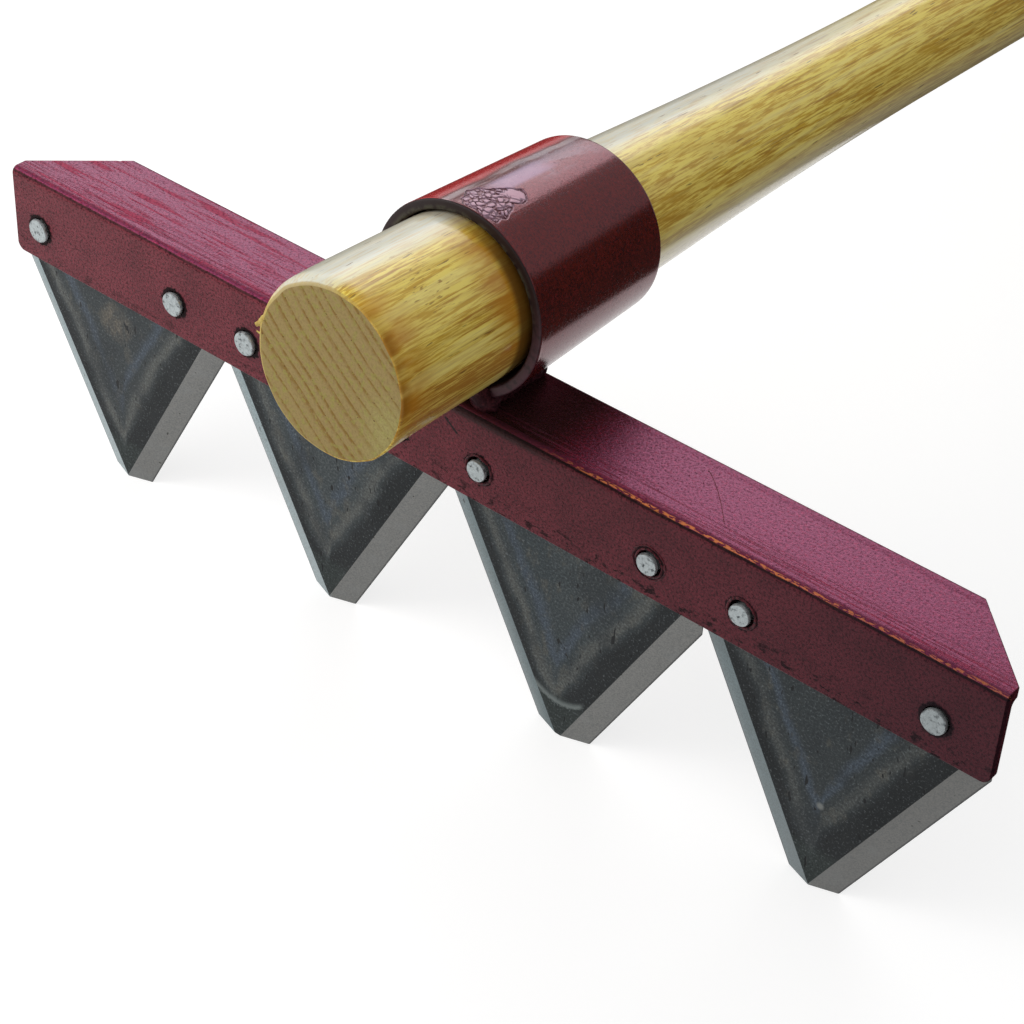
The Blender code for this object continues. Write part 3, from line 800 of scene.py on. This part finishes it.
def in_patch(point):
    """Whether a point of the eye lies near the wrinkled patch."""
    if math.hypot(point.x, point.z) < EYE_REAR_RADIUS or point.y > PATCH_BACK:
        return False
    return PATCH_DEGREES[0] < math.degrees(math.atan2(point.x, point.z)) < PATCH_DEGREES[1]


pick("FACE", in_patch)
bpy.ops.mesh.subdivide(number_cuts=6)
select_only(eye)


def crease_depth(point):
    """How deep the enamel is creased at a point of the eye, from 0 to 1."""
    u = math.atan2(point.x, point.z) * EYE_FRONT_RADIUS * 1000 + 0.8 * noise.noise(point * 500)
    v = point.y * 1000 + 0.8 * noise.noise(point * 500 + Vector((9, 9, 9)))
    inside = False
    closest = 100.0
    for (u0, v0), (u1, v1) in zip(WRINKLE_OUTLINE, WRINKLE_OUTLINE[1:] + WRINKLE_OUTLINE[:1]):
        if (v0 > v) != (v1 > v) and u < u0 + (u1 - u0) * (v - v0) / (v1 - v0):
            inside = not inside
        length = math.hypot(u1 - u0, v1 - v0)
        share = max(0.0, min(1.0, ((u - u0) * (u1 - u0) + (v - v0) * (v1 - v0)) / length ** 2))
        closest = min(closest, math.hypot(u - u0 - share * (u1 - u0), v - v0 - share * (v1 - v0)))
    edge = max(0.0, 1 - (closest / 0.28) ** 2)
    if not inside:
        return edge
    near_two = noise.voronoi(Vector((u, v, 0)) / (WRINKLE_CELL * 1000))[0]
    crack = max(0.0, 1 - (near_two[1] - near_two[0]) / 0.26)
    thin_out = max(0.0, min(1.0, (12.5 - v + 0.6 * (u - 3)) / 3)) if u > 2 else 1.0
    return max(0.06, edge, crack * max(0.0, thin_out))


creases = eye.data.attributes.new("crease", "FLOAT", "POINT")
for vertex, crease in zip(eye.data.vertices, creases.data):
    if in_patch(vertex.co):
        crease.value = crease_depth(vertex.co)
        outward = Vector((vertex.co.x, 0, vertex.co.z)).normalized()
        vertex.co -= outward * WRINKLE_DEPTH * crease.value
bpy.ops.object.shade_smooth()

eye_enamel, shader = new_finish("eye_enamel", 0.2, specular=0.9)
wire(shader, "IOR", 1.6)
wire(shader, "Specular Tint", (1.0, 0.40, 0.48, 1))
here = bench_place(shader, eye_place)
across, along, up = split(here)
around = do_maths("ARCTAN2", across, up) * (180 / math.pi)
radius = away(across, up)
coat = use_group(enamel, here, Body=(0.095, 0.012, 0.006, 1), Thick=(0.17, 0.014, 0.012, 1), Lines=0.0,
                 Patches=0.15, Specks=0.0)
colour = coat["Colour"]
run_around = around + grain(here, (40, 60, 40), 2) * 10.0 - 5.0
# Along the upper left flank, which faces the light, the enamel is painted bright red: partly a thicker run of
# enamel, partly painted light
thick_run_and_lit_flank = fade(run_around, -64, -50) * fade(run_around, -13, -19)
colour = blend(thick_run_and_lit_flank * 0.9, colour, (0.52, 0.016, 0.016, 1))
# A pale streak at the left edge of the eye's highlight: painted highlight
painted_highlight_streak = (fade(run_around, -15.0, -13.0) * fade(run_around, -8.0, -10.5)
        * fade(grain(here, (200, 45, 200), 3), 0.38, 0.58))
colour = blend(painted_highlight_streak * 0.75, colour, (0.5, 0.42, 0.43, 1))
haze = (fade(along, 0.022, 0.03) * fade(along, 0.05, 0.043) * fade(around, -19, -14) * fade(around, 14, 8)
        * fade(grain(here, (260, 90, 260), 4, 0.65), 0.42, 0.6, 0.0, 0.5))
colour = blend(haze, colour, (0.22, 0.25, 0.3, 1))
# A lilac patch on top of the eye: painted highlight
painted_lilac_highlight = fade(along, 0.008, 0.016) * fade(along, 0.036, 0.026) * fade(around, -9, -5) * fade(around, 7, 3)
colour = blend(painted_lilac_highlight * 0.7, colour, (0.28, 0.25, 0.4, 1))
crease = Reading(add_node(shader.id_data, "ShaderNodeAttribute", {}, attribute_name="crease").outputs["Fac"])
# The wrinkled patch painted pale lilac: painted highlight
colour = blend(fade(crease, 0.01, 0.05, 0.0, 0.7), colour, (0.42, 0.32, 0.42, 1))
broken = fade(grain(here, 700, 2, 0.6), 0.36, 0.58, 0.35, 1.0)
colour = blend(fade(crease, 0.09, 0.5) * broken, colour, (0.03, 0.002, 0.006, 1))
bore = along * ((EYE_REAR_BORE - EYE_FRONT_BORE) / EYE_LENGTH) + EYE_FRONT_BORE
inner_wall = fade(radius - bore, 0.0004, 0.0001)
colour = blend(inner_wall, colour, (0.045, 0.035, 0.032, 1))
wire(shader, "Base Color", colour)
wire(shader, "Roughness", coat["Dullness"] * 0.5 + larger(inner_wall, haze * 0.4) * 0.35 + 0.13)
emboss(shader, coat["Height"], 0.000008)
eye.data.materials.append(eye_enamel)

scraped_rim, shader = new_finish("scraped_rim", 0.5, specular=0.25)
here = bench_place(shader, eye_place)
across, along, up = split(here)
radius = away(across, up)
scrape_grain = grain(here, 420, 3, 0.6)
colour = blend(fade(up, 0.014, -0.008), (0.016, 0.006, 0.006, 1), (0.075, 0.026, 0.036, 1))
colour = blend(fade(scrape_grain, 0.55, 0.35, 0.0, 0.7), colour, (0.012, 0.005, 0.005, 1))
scraped = fade(radius, EYE_FRONT_BORE + 0.0016, EYE_FRONT_BORE + 0.0006) * fade(scrape_grain, 0.42, 0.58)
colour = blend(scraped * fade(up, -0.002, 0.01, 0.25, 1.0), colour, (0.05, 0.045, 0.03, 1))
wire(shader, "Base Color", colour)
emboss(shader, scrape_grain, 0.00005)
eye.data.materials.append(scraped_rim)
for face in eye.data.polygons:
    face.material_index = int(face.normal.y < -0.3 and face.center.y < EYE_RIM_ROUNDING)
lay_down(eye, eye_place, "head", "maroon_paint", "collar")

# The fillet welds: a rippled bead in each corner between the eye and the top leg, with a blob where
# the weld starts in front and another where it stops, painted over with the rest.
WELD_FRONT = 0.0009
WELD_RADIUS = 0.0031
WELD_OFFSET = 0.0098
WELD_HEIGHT = 0.0022
WELD_RIPPLES = 9
WELD_START_RADIUS = 0.0042
WELD_STOP_RADIUS = 0.0036
WELD_BLOB_LENGTH = 0.0055
WELD_END_LENGTH = 0.0024
WELD_LENGTH = TOP_LEG_DEPTH - WELD_FRONT
WELD_RINGS = 72
WELD_CLEARANCE = 0.0003
CUTTER_SIZE = 0.06

weld_enamel, shader = new_finish("weld_enamel", 0.3, specular=0.05)
wire(shader, "Specular Tint", (1.0, 0.45, 0.6, 1))
here = bench_place(shader)
coat = use_group(enamel, here, Body=(0.04, 0.013, 0.017, 1), Thick=(0.09, 0.022, 0.03, 1), Lines=0.0,
                 Patches=0.4, Specks=0.3)
spatter = fade(grain(here, 1100, 1), 0.7, 0.76)
colour = blend(spatter, coat["Colour"], (0.12, 0.05, 0.05, 1))
wire(shader, "Base Color", colour)
wire(shader, "Roughness", coat["Dullness"] + 0.22)
emboss(shader, coat["Height"], 0.00005)

for number, side, solid in ((1, -1, "weld_bead_left"), (2, 1, "weld_bead_right")):
    select_only()
    bpy.ops.mesh.primitive_cylinder_add(vertices=48, radius=1, depth=WELD_LENGTH, end_fill_type="TRIFAN",
                                        location=(0, WELD_LENGTH / 2, 0), rotation=(math.pi / 2, 0, 0))
    bead = take_up(f"fillet_weld_{number}")
    open_up(bead)
    for ring in range(1, WELD_RINGS):
        score((0, WELD_LENGTH * ring / WELD_RINGS, 0), (0, 1, 0))
    select_only(bead)
    for vertex in bead.data.vertices:
        across, along, up = vertex.co
        chevron = along + 0.0008 * up
        ripple = abs(math.sin(math.pi * WELD_RIPPLES * chevron / WELD_LENGTH))
        start = math.cos(math.pi / 2 * min(1, along / WELD_BLOB_LENGTH))
        stop = math.cos(math.pi / 2 * min(1, (WELD_LENGTH - along) / WELD_BLOB_LENGTH))
        radius = WELD_RADIUS + 0.0001 - 0.0004 * (1 - ripple)
        radius += (WELD_START_RADIUS - WELD_RADIUS) * start + (WELD_STOP_RADIUS - WELD_RADIUS) * stop
        lumps = 0.0004 + 0.0008 * start
        radius += lumps * noise.noise(Vector((across * 2.2, along * 520, up * 2.2 + number * 9)))
        to_end = max(0, min(1, along / WELD_END_LENGTH, (WELD_LENGTH - along) / WELD_END_LENGTH))
        radius *= math.sqrt(to_end * (2 - to_end))
        vertex.co = (across * radius, along, up * radius)
    open_up(bead)
    bpy.ops.mesh.select_all(action="SELECT")
    bpy.ops.mesh.remove_doubles(threshold=1e-6)
    select_only(bead)
    seam = Matrix.Translation((EYE_SHIFT, WELD_FRONT, 0)) @ Matrix.Rotation(EYE_YAW, 4, "Z")
    bead.matrix_world = seam @ Matrix.Translation((side * WELD_OFFSET, 0, WELD_HEIGHT))
    bpy.ops.object.transform_apply()
    bpy.ops.mesh.primitive_cone_add(
        vertices=96, radius1=EYE_FRONT_RADIUS - WELD_CLEARANCE, radius2=EYE_REAR_RADIUS - WELD_CLEARANCE,
        depth=EYE_LENGTH, location=(0, EYE_LENGTH / 2, 0), rotation=(-math.pi / 2, 0, 0))
    eye_cutter = bpy.context.object
    eye_cutter.matrix_world = bench.inverted() @ eye_place @ eye_cutter.matrix_world
    bpy.ops.object.transform_apply()
    bpy.ops.mesh.primitive_cube_add(
        size=CUTTER_SIZE, location=(0, 0.01, -CUTTER_SIZE / 2 - WELD_CLEARANCE))
    leg_cutter = bpy.context.object
    bpy.ops.object.transform_apply()
    for cutter in (eye_cutter, leg_cutter):
        finish_with(bead, "BOOLEAN", object=cutter, operation="DIFFERENCE", solver="EXACT")
        bpy.data.objects.remove(cutter)
    select_only(bead)
    bpy.ops.object.shade_smooth_by_angle(angle=math.radians(50))
    bead.data.materials.append(weld_enamel)
    lay_down(bead, bench, "head", "maroon_paint", solid)

# The handle: one piece of turned and lacquered ash, thick where the eye wedges on it, sawn off
# square in front, slim behind the head, swelling to the grip and rounded at the butt.
HANDLE_LENGTH = 1.524
STUB_LENGTH = 0.0389
STUB_END_RADIUS = 0.0216
MOUTH_RADIUS = 0.0209
HEEL_HANDLE_RADIUS = 0.0186
WAIST_DISTANCE = 0.19
WAIST_RADIUS = 0.0147
GRIP_RADIUS = 0.0159
BUTT_RADIUS = 0.0152
BUTT_ROUNDING = 0.006
CUT_END_ROUNDING = 0.0005
EYE_FRONT_SLACK = 0.0006
EYE_REAR_SLACK = 0.0003

askew = math.atan((EYE_FRONT_SLACK + EYE_REAR_SLACK) / EYE_LENGTH)
handle_place = eye_place @ Matrix.Translation((-EYE_FRONT_SLACK, 0, 0)) @ Matrix.Rotation(-askew, 4, "Z")
cut_end = -EYE_FRONT - STUB_LENGTH
butt = cut_end + HANDLE_LENGTH


def handle_radius(distance):
    """The handle's radius along its axis, which is counted from the eye's mouth."""
    slope = (HEEL_HANDLE_RADIUS - MOUTH_RADIUS) / EYE_LENGTH
    if distance < 0:
        return MOUTH_RADIUS + (STUB_END_RADIUS - MOUTH_RADIUS) * distance / (cut_end + CUT_END_ROUNDING)
    if distance < EYE_LENGTH:
        return MOUTH_RADIUS + slope * distance
    if distance < WAIST_DISTANCE:
        run_out = WAIST_DISTANCE - EYE_LENGTH
        share = (distance - EYE_LENGTH) / run_out
        radius = HEEL_HANDLE_RADIUS + (WAIST_RADIUS - HEEL_HANDLE_RADIUS) * share * share * (3 - 2 * share)
        return radius + slope * run_out * share * (1 - share) ** 2
    middle = (WAIST_DISTANCE + butt) / 2
    for start, stop, first, second in ((WAIST_DISTANCE, middle, WAIST_RADIUS, GRIP_RADIUS),
                                       (middle, butt, GRIP_RADIUS, BUTT_RADIUS)):
        if distance <= stop:
            share = (distance - start) / (stop - start)
            return first + (second - first) * share * share * (3 - 2 * share)
    return BUTT_RADIUS


handle_stations = [((STUB_END_RADIUS - CUT_END_ROUNDING) * ring / 14, cut_end) for ring in range(1, 15)]
for step in range(1, 5):
    angle = math.pi / 2 * step / 4
    handle_stations.append((STUB_END_RADIUS - CUT_END_ROUNDING * (1 - math.sin(angle)),
                            cut_end + CUT_END_ROUNDING * (1 - math.cos(angle))))
for start, stop, steps in ((cut_end + CUT_END_ROUNDING, 0, 32), (0, EYE_LENGTH, 4),
                           (EYE_LENGTH, WAIST_DISTANCE, 24), (WAIST_DISTANCE, butt - BUTT_ROUNDING, 60)):
    for step in range(1, steps + 1):
        at = start + (stop - start) * step / steps
        handle_stations.append((handle_radius(at), at))
for step in range(1, 9):
    angle = math.pi / 2 * step / 8
    handle_stations.append((BUTT_RADIUS - BUTT_ROUNDING * (1 - math.cos(angle)),
                            butt - BUTT_ROUNDING * (1 - math.sin(angle))))
handle = turn_profile("ash_handle", 128, handle_stations)
bpy.ops.mesh.edge_face_add()
pick("EDGE", lambda p: near(p.y, cut_end) and math.hypot(p.x, p.z) < STUB_END_RADIUS / 13)
bpy.ops.mesh.edge_face_add()
bpy.ops.mesh.select_all(action="SELECT")
bpy.ops.mesh.normals_make_consistent(inside=False)
select_only(handle)

# The saw left the end a little off centre, with its upper left torn away
TEAR_ANGLE = math.radians(145)
TEAR_DEPTH = 0.0014
TEAR_LENGTH = 0.004
OFF_CENTRE = 0.0005
OFF_CENTRE_LENGTH = 0.015
for vertex in handle.data.vertices:
    behind = vertex.co.y - cut_end
    if behind < OFF_CENTRE_LENGTH:
        radius = math.hypot(vertex.co.x, vertex.co.z)
        angle = math.atan2(vertex.co.z, vertex.co.x)
        torn = TEAR_DEPTH * max(0.0, math.cos(angle - TEAR_ANGLE)) ** 1.5
        torn += 0.0003 * noise.noise(Vector((math.cos(angle) * 4, math.sin(angle) * 4, behind * 300)))
        torn *= max(0.0, 1 - behind / TEAR_LENGTH) ** 2
        torn *= min(1.0, radius / (STUB_END_RADIUS - CUT_END_ROUNDING))
        vertex.co.x *= 1 - torn / radius
        vertex.co.z *= 1 - torn / radius
        vertex.co.x += OFF_CENTRE * (1 - behind / OFF_CENTRE_LENGTH) ** 2
bpy.ops.object.shade_smooth_by_angle(angle=math.radians(40))

# Ash: open rings round a pith that lay outside the blank, with pores in rows along the fibre
PITH_ACROSS = 0.10
PITH_UP = 0.115
RINGS_TO_THE_METRE = 310
ash, ash_in, ash_out = new_group(
    "ash_grain", {"Place": "Vector"},
    {"Rings": "Float", "Fibre": "Float", "Pores": "Float", "Broad": "Float"})
place = ash_in["Place"]
across, along, up = split(place)
from_pith = away(across - PITH_ACROSS, up - PITH_UP) + grain(place, (42, 4, 42), 1) * 0.003
ring_place = Reading(add_node(ash, "ShaderNodeCombineXYZ", {0: from_pith}).outputs[0])
from_pith = from_pith + grain(ring_place, (210, 1, 1), 1) * 0.004
phase = do_maths("FRACT", from_pith * RINGS_TO_THE_METRE)
rings = fade(phase, 0.0, 0.1) * fade(phase, 0.45, 0.12)
wire(ash_out, "Rings", rings)
wire(ash_out, "Fibre", grain(place, (1700, 90, 1700), 4, 0.65))
pore_dots = fade(grain(place, (1700, 170, 1700), 1), 0.66, 0.72)
wire(ash_out, "Pores", pore_dots * fade(rings, 0.1, 0.5))
wire(ash_out, "Broad", grain(place, (260, 12, 260), 4, 0.6))

lacquered_ash, shader = new_finish("lacquered_ash", 0.5, specular=0.15)
wire(shader, "Coat IOR", 1.55)
wire(shader, "Coat Roughness", 0.2)
here = bench_place(shader, handle_place)
across, along, up = split(here)
around = do_maths("ARCTAN2", across, up) * (180 / math.pi)
wood = use_group(ash, here)
colour = blend(fade(wood["Fibre"], 0.4, 0.56), (0.7, 0.43, 0.035, 1), (1.0, 0.8, 0.16, 1))
threads = (fade(grain(here, (1300, 32, 1300), 2, 0.6), 0.55, 0.6)
           * fade(grain(here, (150, 20, 150), 2), 0.42, 0.55, 0.2, 0.62))
colour = blend(threads, colour, (0.4, 0.175, 0.012, 1))
colour = blend(fade(wood["Broad"], 0.46, 0.34, 0.0, 0.6), colour, (1.0, 0.84, 0.27, 1))
# Brown streaks of the grain, with more of them towards the lower right side as painted shade
brown_grain_and_shade = wood["Broad"] + fade(around, 12, 90, -0.12, 0.1)
brown_grain_and_shade = (fade(brown_grain_and_shade, 0.5, 0.6) * fade(wood["Fibre"], 0.6, 0.44, 0.3, 0.95)
         * fade(along, 0.03, 0.02, 0.4, 1.0))
colour = blend(brown_grain_and_shade, colour, (0.47, 0.21, 0.018, 1))
colour = blend(wood["Rings"] * 0.3, colour, (0.58, 0.36, 0.04, 1))
# The upper left side, which faces the light, painted pale: painted highlight
painted_highlight_side = wood["Broad"] * 30.0 + (around - 15.0)
painted_highlight_side = (fade(painted_highlight_side, 14, -8) * fade(wood["Fibre"], 0.3, 0.6, 0.55, 0.95) * fade(around, -75, -42)
             * fade(along, 0.22, 0.1, 0.3, 1.0))
colour = blend(painted_highlight_side, colour, (0.69, 0.7, 0.62, 1))
# The lower right side behind the eye painted pale: painted highlight
painted_belly_highlight = fade(around, 75, 110) * fade(along, 0.03, 0.06) * fade(along, 0.22, 0.1, 0.3, 0.7)
colour = blend(painted_belly_highlight, colour, (1.0, 0.92, 0.66, 1))
colour = blend(wood["Pores"] * 0.7, colour, (0.16, 0.07, 0.012, 1))
nest = distance_to(here, (0.0095, -0.0235, 0.0185))
nest_pores = fade(nest, 0.013, 0.005) * fade(grain(here, (1900, 330, 1900), 1), 0.63, 0.7)
colour = blend(nest_pores * 0.7, colour, (0.3, 0.14, 0.02, 1))
stain_grain = fade(grain(here, (230, 60, 230), 3), 0.38, 0.6, 0.35, 1.0)
mouth_stain = fade(along, -0.014, -0.004) * fade(around, -10, 25) * fade(around, 120, 90)
before_heel = fade(along, 0.03, 0.02)
mouth_stain = mouth_stain * before_heel
end_stain = fade(along, cut_end + 0.015, cut_end + 0.002) * fade(around, 10, 35) * fade(around, 125, 100)
stain = larger(mouth_stain, end_stain) * stain_grain
colour = blend(stain * 0.85, colour, (0.56, 0.22, 0.005, 1))
# Painted shade on the wood where it goes into the eye's mouth
painted_mouth_shade = fade(along, -0.0032, -0.0008) * fade(around, 0, 50, 0.3, 0.9) * before_heel
colour = blend(painted_mouth_shade, colour, (0.16, 0.07, 0.01, 1))
scorched = (fade(along, cut_end + 0.0045, cut_end + 0.0005) * fade(around, 20, 45) * fade(around, 115, 90)
            * stain_grain)
colour = blend(scorched * 0.8, colour, (0.33, 0.13, 0.007, 1))
sawn_arris = fade(along, cut_end + 0.0007, cut_end + 0.0002) * fade(around, 40, 0, 0.1, 0.8)
colour = blend(sawn_arris, colour, (0.46, 0.33, 0.1, 1))
wire(shader, "Base Color", colour)
wire(shader, "Coat Weight", fade(along, cut_end + 0.001, cut_end + 0.006, 0.1, 1.0))
emboss(shader, wood["Fibre"] - wood["Pores"], 0.00003)

sawn_ash, shader = new_finish("sawn_ash", 0.75, specular=0.25)
here = bench_place(shader, handle_place)
across, along, up = split(here)
wood = use_group(ash, here)
speckle = grain(here, 1500, 3, 0.7)
flecks = grain(here, 700, 2, 0.6)
broken = wood["Rings"] * fade(grain(here, 650, 3, 0.6), 0.38, 0.56, 0.4, 1.0)
colour = blend(broken, (0.385, 0.28, 0.11, 1), (0.265, 0.145, 0.028, 1))
colour = blend(fade(flecks, 0.5, 0.66, 0.0, 0.8), colour, (0.36, 0.32, 0.08, 1))
soaked = fade(across, 0.008, 0.018) * fade(up, 0.004, -0.006)
colour = blend(soaked * 0.6, colour, (0.45, 0.41, 0.15, 1))
colour = blend(fade(speckle, 0.3, 0.6, 0.45, 0.0), colour, (0.2, 0.14, 0.055, 1))
pore_rows = wood["Rings"] * 0.08 + grain(here, 1500, 1)
dots = fade(pore_rows, 0.72, 0.8)
colour = blend(dots * 0.8, colour, (0.1, 0.035, 0.015, 1))
wire(shader, "Base Color", colour)
emboss(shader, speckle - dots, 0.00008)

handle.data.materials.append(lacquered_ash)
handle.data.materials.append(sawn_ash)
for face in handle.data.polygons:
    face.material_index = int(near(face.center.y, cut_end))
lay_down(handle, handle_place, "handle", "ash_wood", "handle")

# Splinters that the saw left on the torn side of the end, still hanging on by their roots
for number, root, tip, root_width, tip_width in (
        (1, (-0.0178, 0.0056), (-0.0214, 0.0020), 0.0012, 0.0005),
        (2, (-0.0186, 0.0007), (-0.0212, 0.0004), 0.0005, 0.00022)):
    way = Vector((tip[0] - root[0], 0, tip[1] - root[1]))
    select_only()
    bpy.ops.mesh.primitive_cone_add(vertices=8, radius1=root_width, radius2=tip_width, depth=1,
                                    location=(0, 0, 0.5))
    splinter = take_up(f"torn_splinter_{number}")
    open_up(splinter)
    for ring in range(1, 8):
        score((0, 0, ring / 8), (0, 0, 1))
    bpy.ops.mesh.select_all(action="SELECT")
    bpy.ops.transform.resize(value=(1, 0.35, way.length), center_override=(0, 0, 0))
    select_only(splinter)
    for vertex in splinter.data.vertices:
        vertex.co.x += 0.00025 * noise.noise(Vector((number, 0, vertex.co.z * 900)))
        vertex.co.y += 0.0003 * noise.noise(Vector((0, number, vertex.co.z * 700)))
    lean = Vector((0, 0, 1)).rotation_difference(way.normalized()).to_matrix().to_4x4()
    splinter.matrix_world = Matrix.Translation((root[0], cut_end + 0.0004, root[1])) @ lean
    bpy.ops.object.shade_smooth_by_angle(angle=math.radians(40))
    splinter.data.materials.append(lacquered_ash)
    lay_down(splinter, handle_place, "handle", "ash_wood")

# Studio: a white table and a white floor below it, a large soft panel behind on the left, two weaker
# lamps in front, and three black cards low round the head, which only show as dark bands in its gloss
SHEET_SIZE = 40
FLOOR_LEVEL = -0.3


def lay_white(name, finish_name, level, brightness):
    """A white sheet that shows the same brightness to the camera and in reflections."""
    select_only()
    bpy.ops.mesh.primitive_plane_add(size=SHEET_SIZE, location=(0, 0, level))
    sheet = bpy.context.object
    sheet.name = name
    finish, shader = new_finish(finish_name, 0.9, specular=0.1)
    wire(shader, "Base Color", (0.45, 0.45, 0.45, 1))
    wire(shader, "Emission Color", (1, 1, 1, 1))
    seen = add_node(shader.id_data, "ShaderNodeLightPath", {}).outputs
    shown = larger(*(Reading(seen[f"Is {kind} Ray"]) for kind in ("Camera", "Glossy", "Transmission")))
    wire(shader, "Emission Strength", shown * brightness)
    sheet.data.materials.append(finish)
    return shader


# The handle slopes down to its butt, so the head slid to that end hangs below the table: the table
# is cut away there, and the white floor shows through
shader = lay_white("white_table", "white_paper", 0, 0.68)
table_point = Reading(add_node(shader.id_data, "ShaderNodeTexCoord", {}).outputs["Object"])
along, back, up = split(table_point)
cut_away = fade(back, 0.30, 0.55) * fade(back, 1.4, 1.1) * fade(abs(along), 0.6, 0.3)
wire(shader, "Alpha", 1.0 - cut_away)
lay_white("white_floor_below", "lower_white", FLOOR_LEVEL, 0.97)

black, shader = new_finish("black_cloth", 0.95, specular=0.0)
wire(shader, "Base Color", (0.06, 0.055, 0.055, 1))
for number, location, rotation, size in (
        (1, (0.50, -0.34, 0.13), (math.pi / 2, 0, math.radians(-54)), (0.9, 0.26, 1)),
        (2, (-0.62, -0.10, 0.001), (0, 0, math.radians(45)), (1.3, 1.35, 1)),
        (3, (0.297, -0.465, 0.001), (0, 0, math.radians(36)), (0.487, 0.7, 1))):
    bpy.ops.mesh.primitive_plane_add(size=1, location=location, rotation=rotation)
    card = bpy.context.object
    card.name = f"black_card_{number}"
    card.scale = size
    card.visible_camera = False
    card.visible_diffuse = False
    card.visible_shadow = False
    card.data.materials.append(black)


def add_lamp(name, towards, distance, width, height, power, colour=(1, 1, 1), aim=eye_place.translation):
    """A soft light in that direction from the aim, facing it."""
    place = aim + Vector(towards).normalized() * distance
    bpy.ops.object.light_add(type="AREA", location=place)
    lamp = bpy.context.object
    lamp.name = name
    lamp.rotation_euler = (aim - place).to_track_quat("-Z", "Y").to_euler()
    lamp.data.shape = "RECTANGLE"
    lamp.data.size = width
    lamp.data.size_y = height
    lamp.data.energy = power
    lamp.data.color = colour


add_lamp("panel", (-0.571, 0.731, 0.54), 1.6, 1.36, 0.8, 6.9, (0.97, 0.98, 1.0))
add_lamp("left_lamp", (-0.75, -0.8, 0.75), 0.47, 0.42, 0.42, 1.75, (1.0, 0.98, 0.96),
         bench @ Vector((-0.12, 0, -0.02)))
add_lamp("fill", (0.10, -0.62, 0.95), 1.5, 1.0, 1.0, 2.2)

world = bpy.data.worlds.new("studio")
bpy.context.scene.world = world
world.use_nodes = True
wire(world.node_tree.nodes["Background"], "Color", (1, 1, 1, 1))
wire(world.node_tree.nodes["Background"], "Strength", 0.45)

bpy.ops.object.camera_add(
    location=(0.31321, -1.0825, 0.43626),
    rotation=(math.radians(51.096), math.radians(-1.628), math.radians(40.226)))
camera = bpy.context.object
camera.data.lens = 89.478
camera.data.sensor_width = 36
bpy.context.scene.camera = camera
bpy.context.scene.view_settings.view_transform = "Standard"
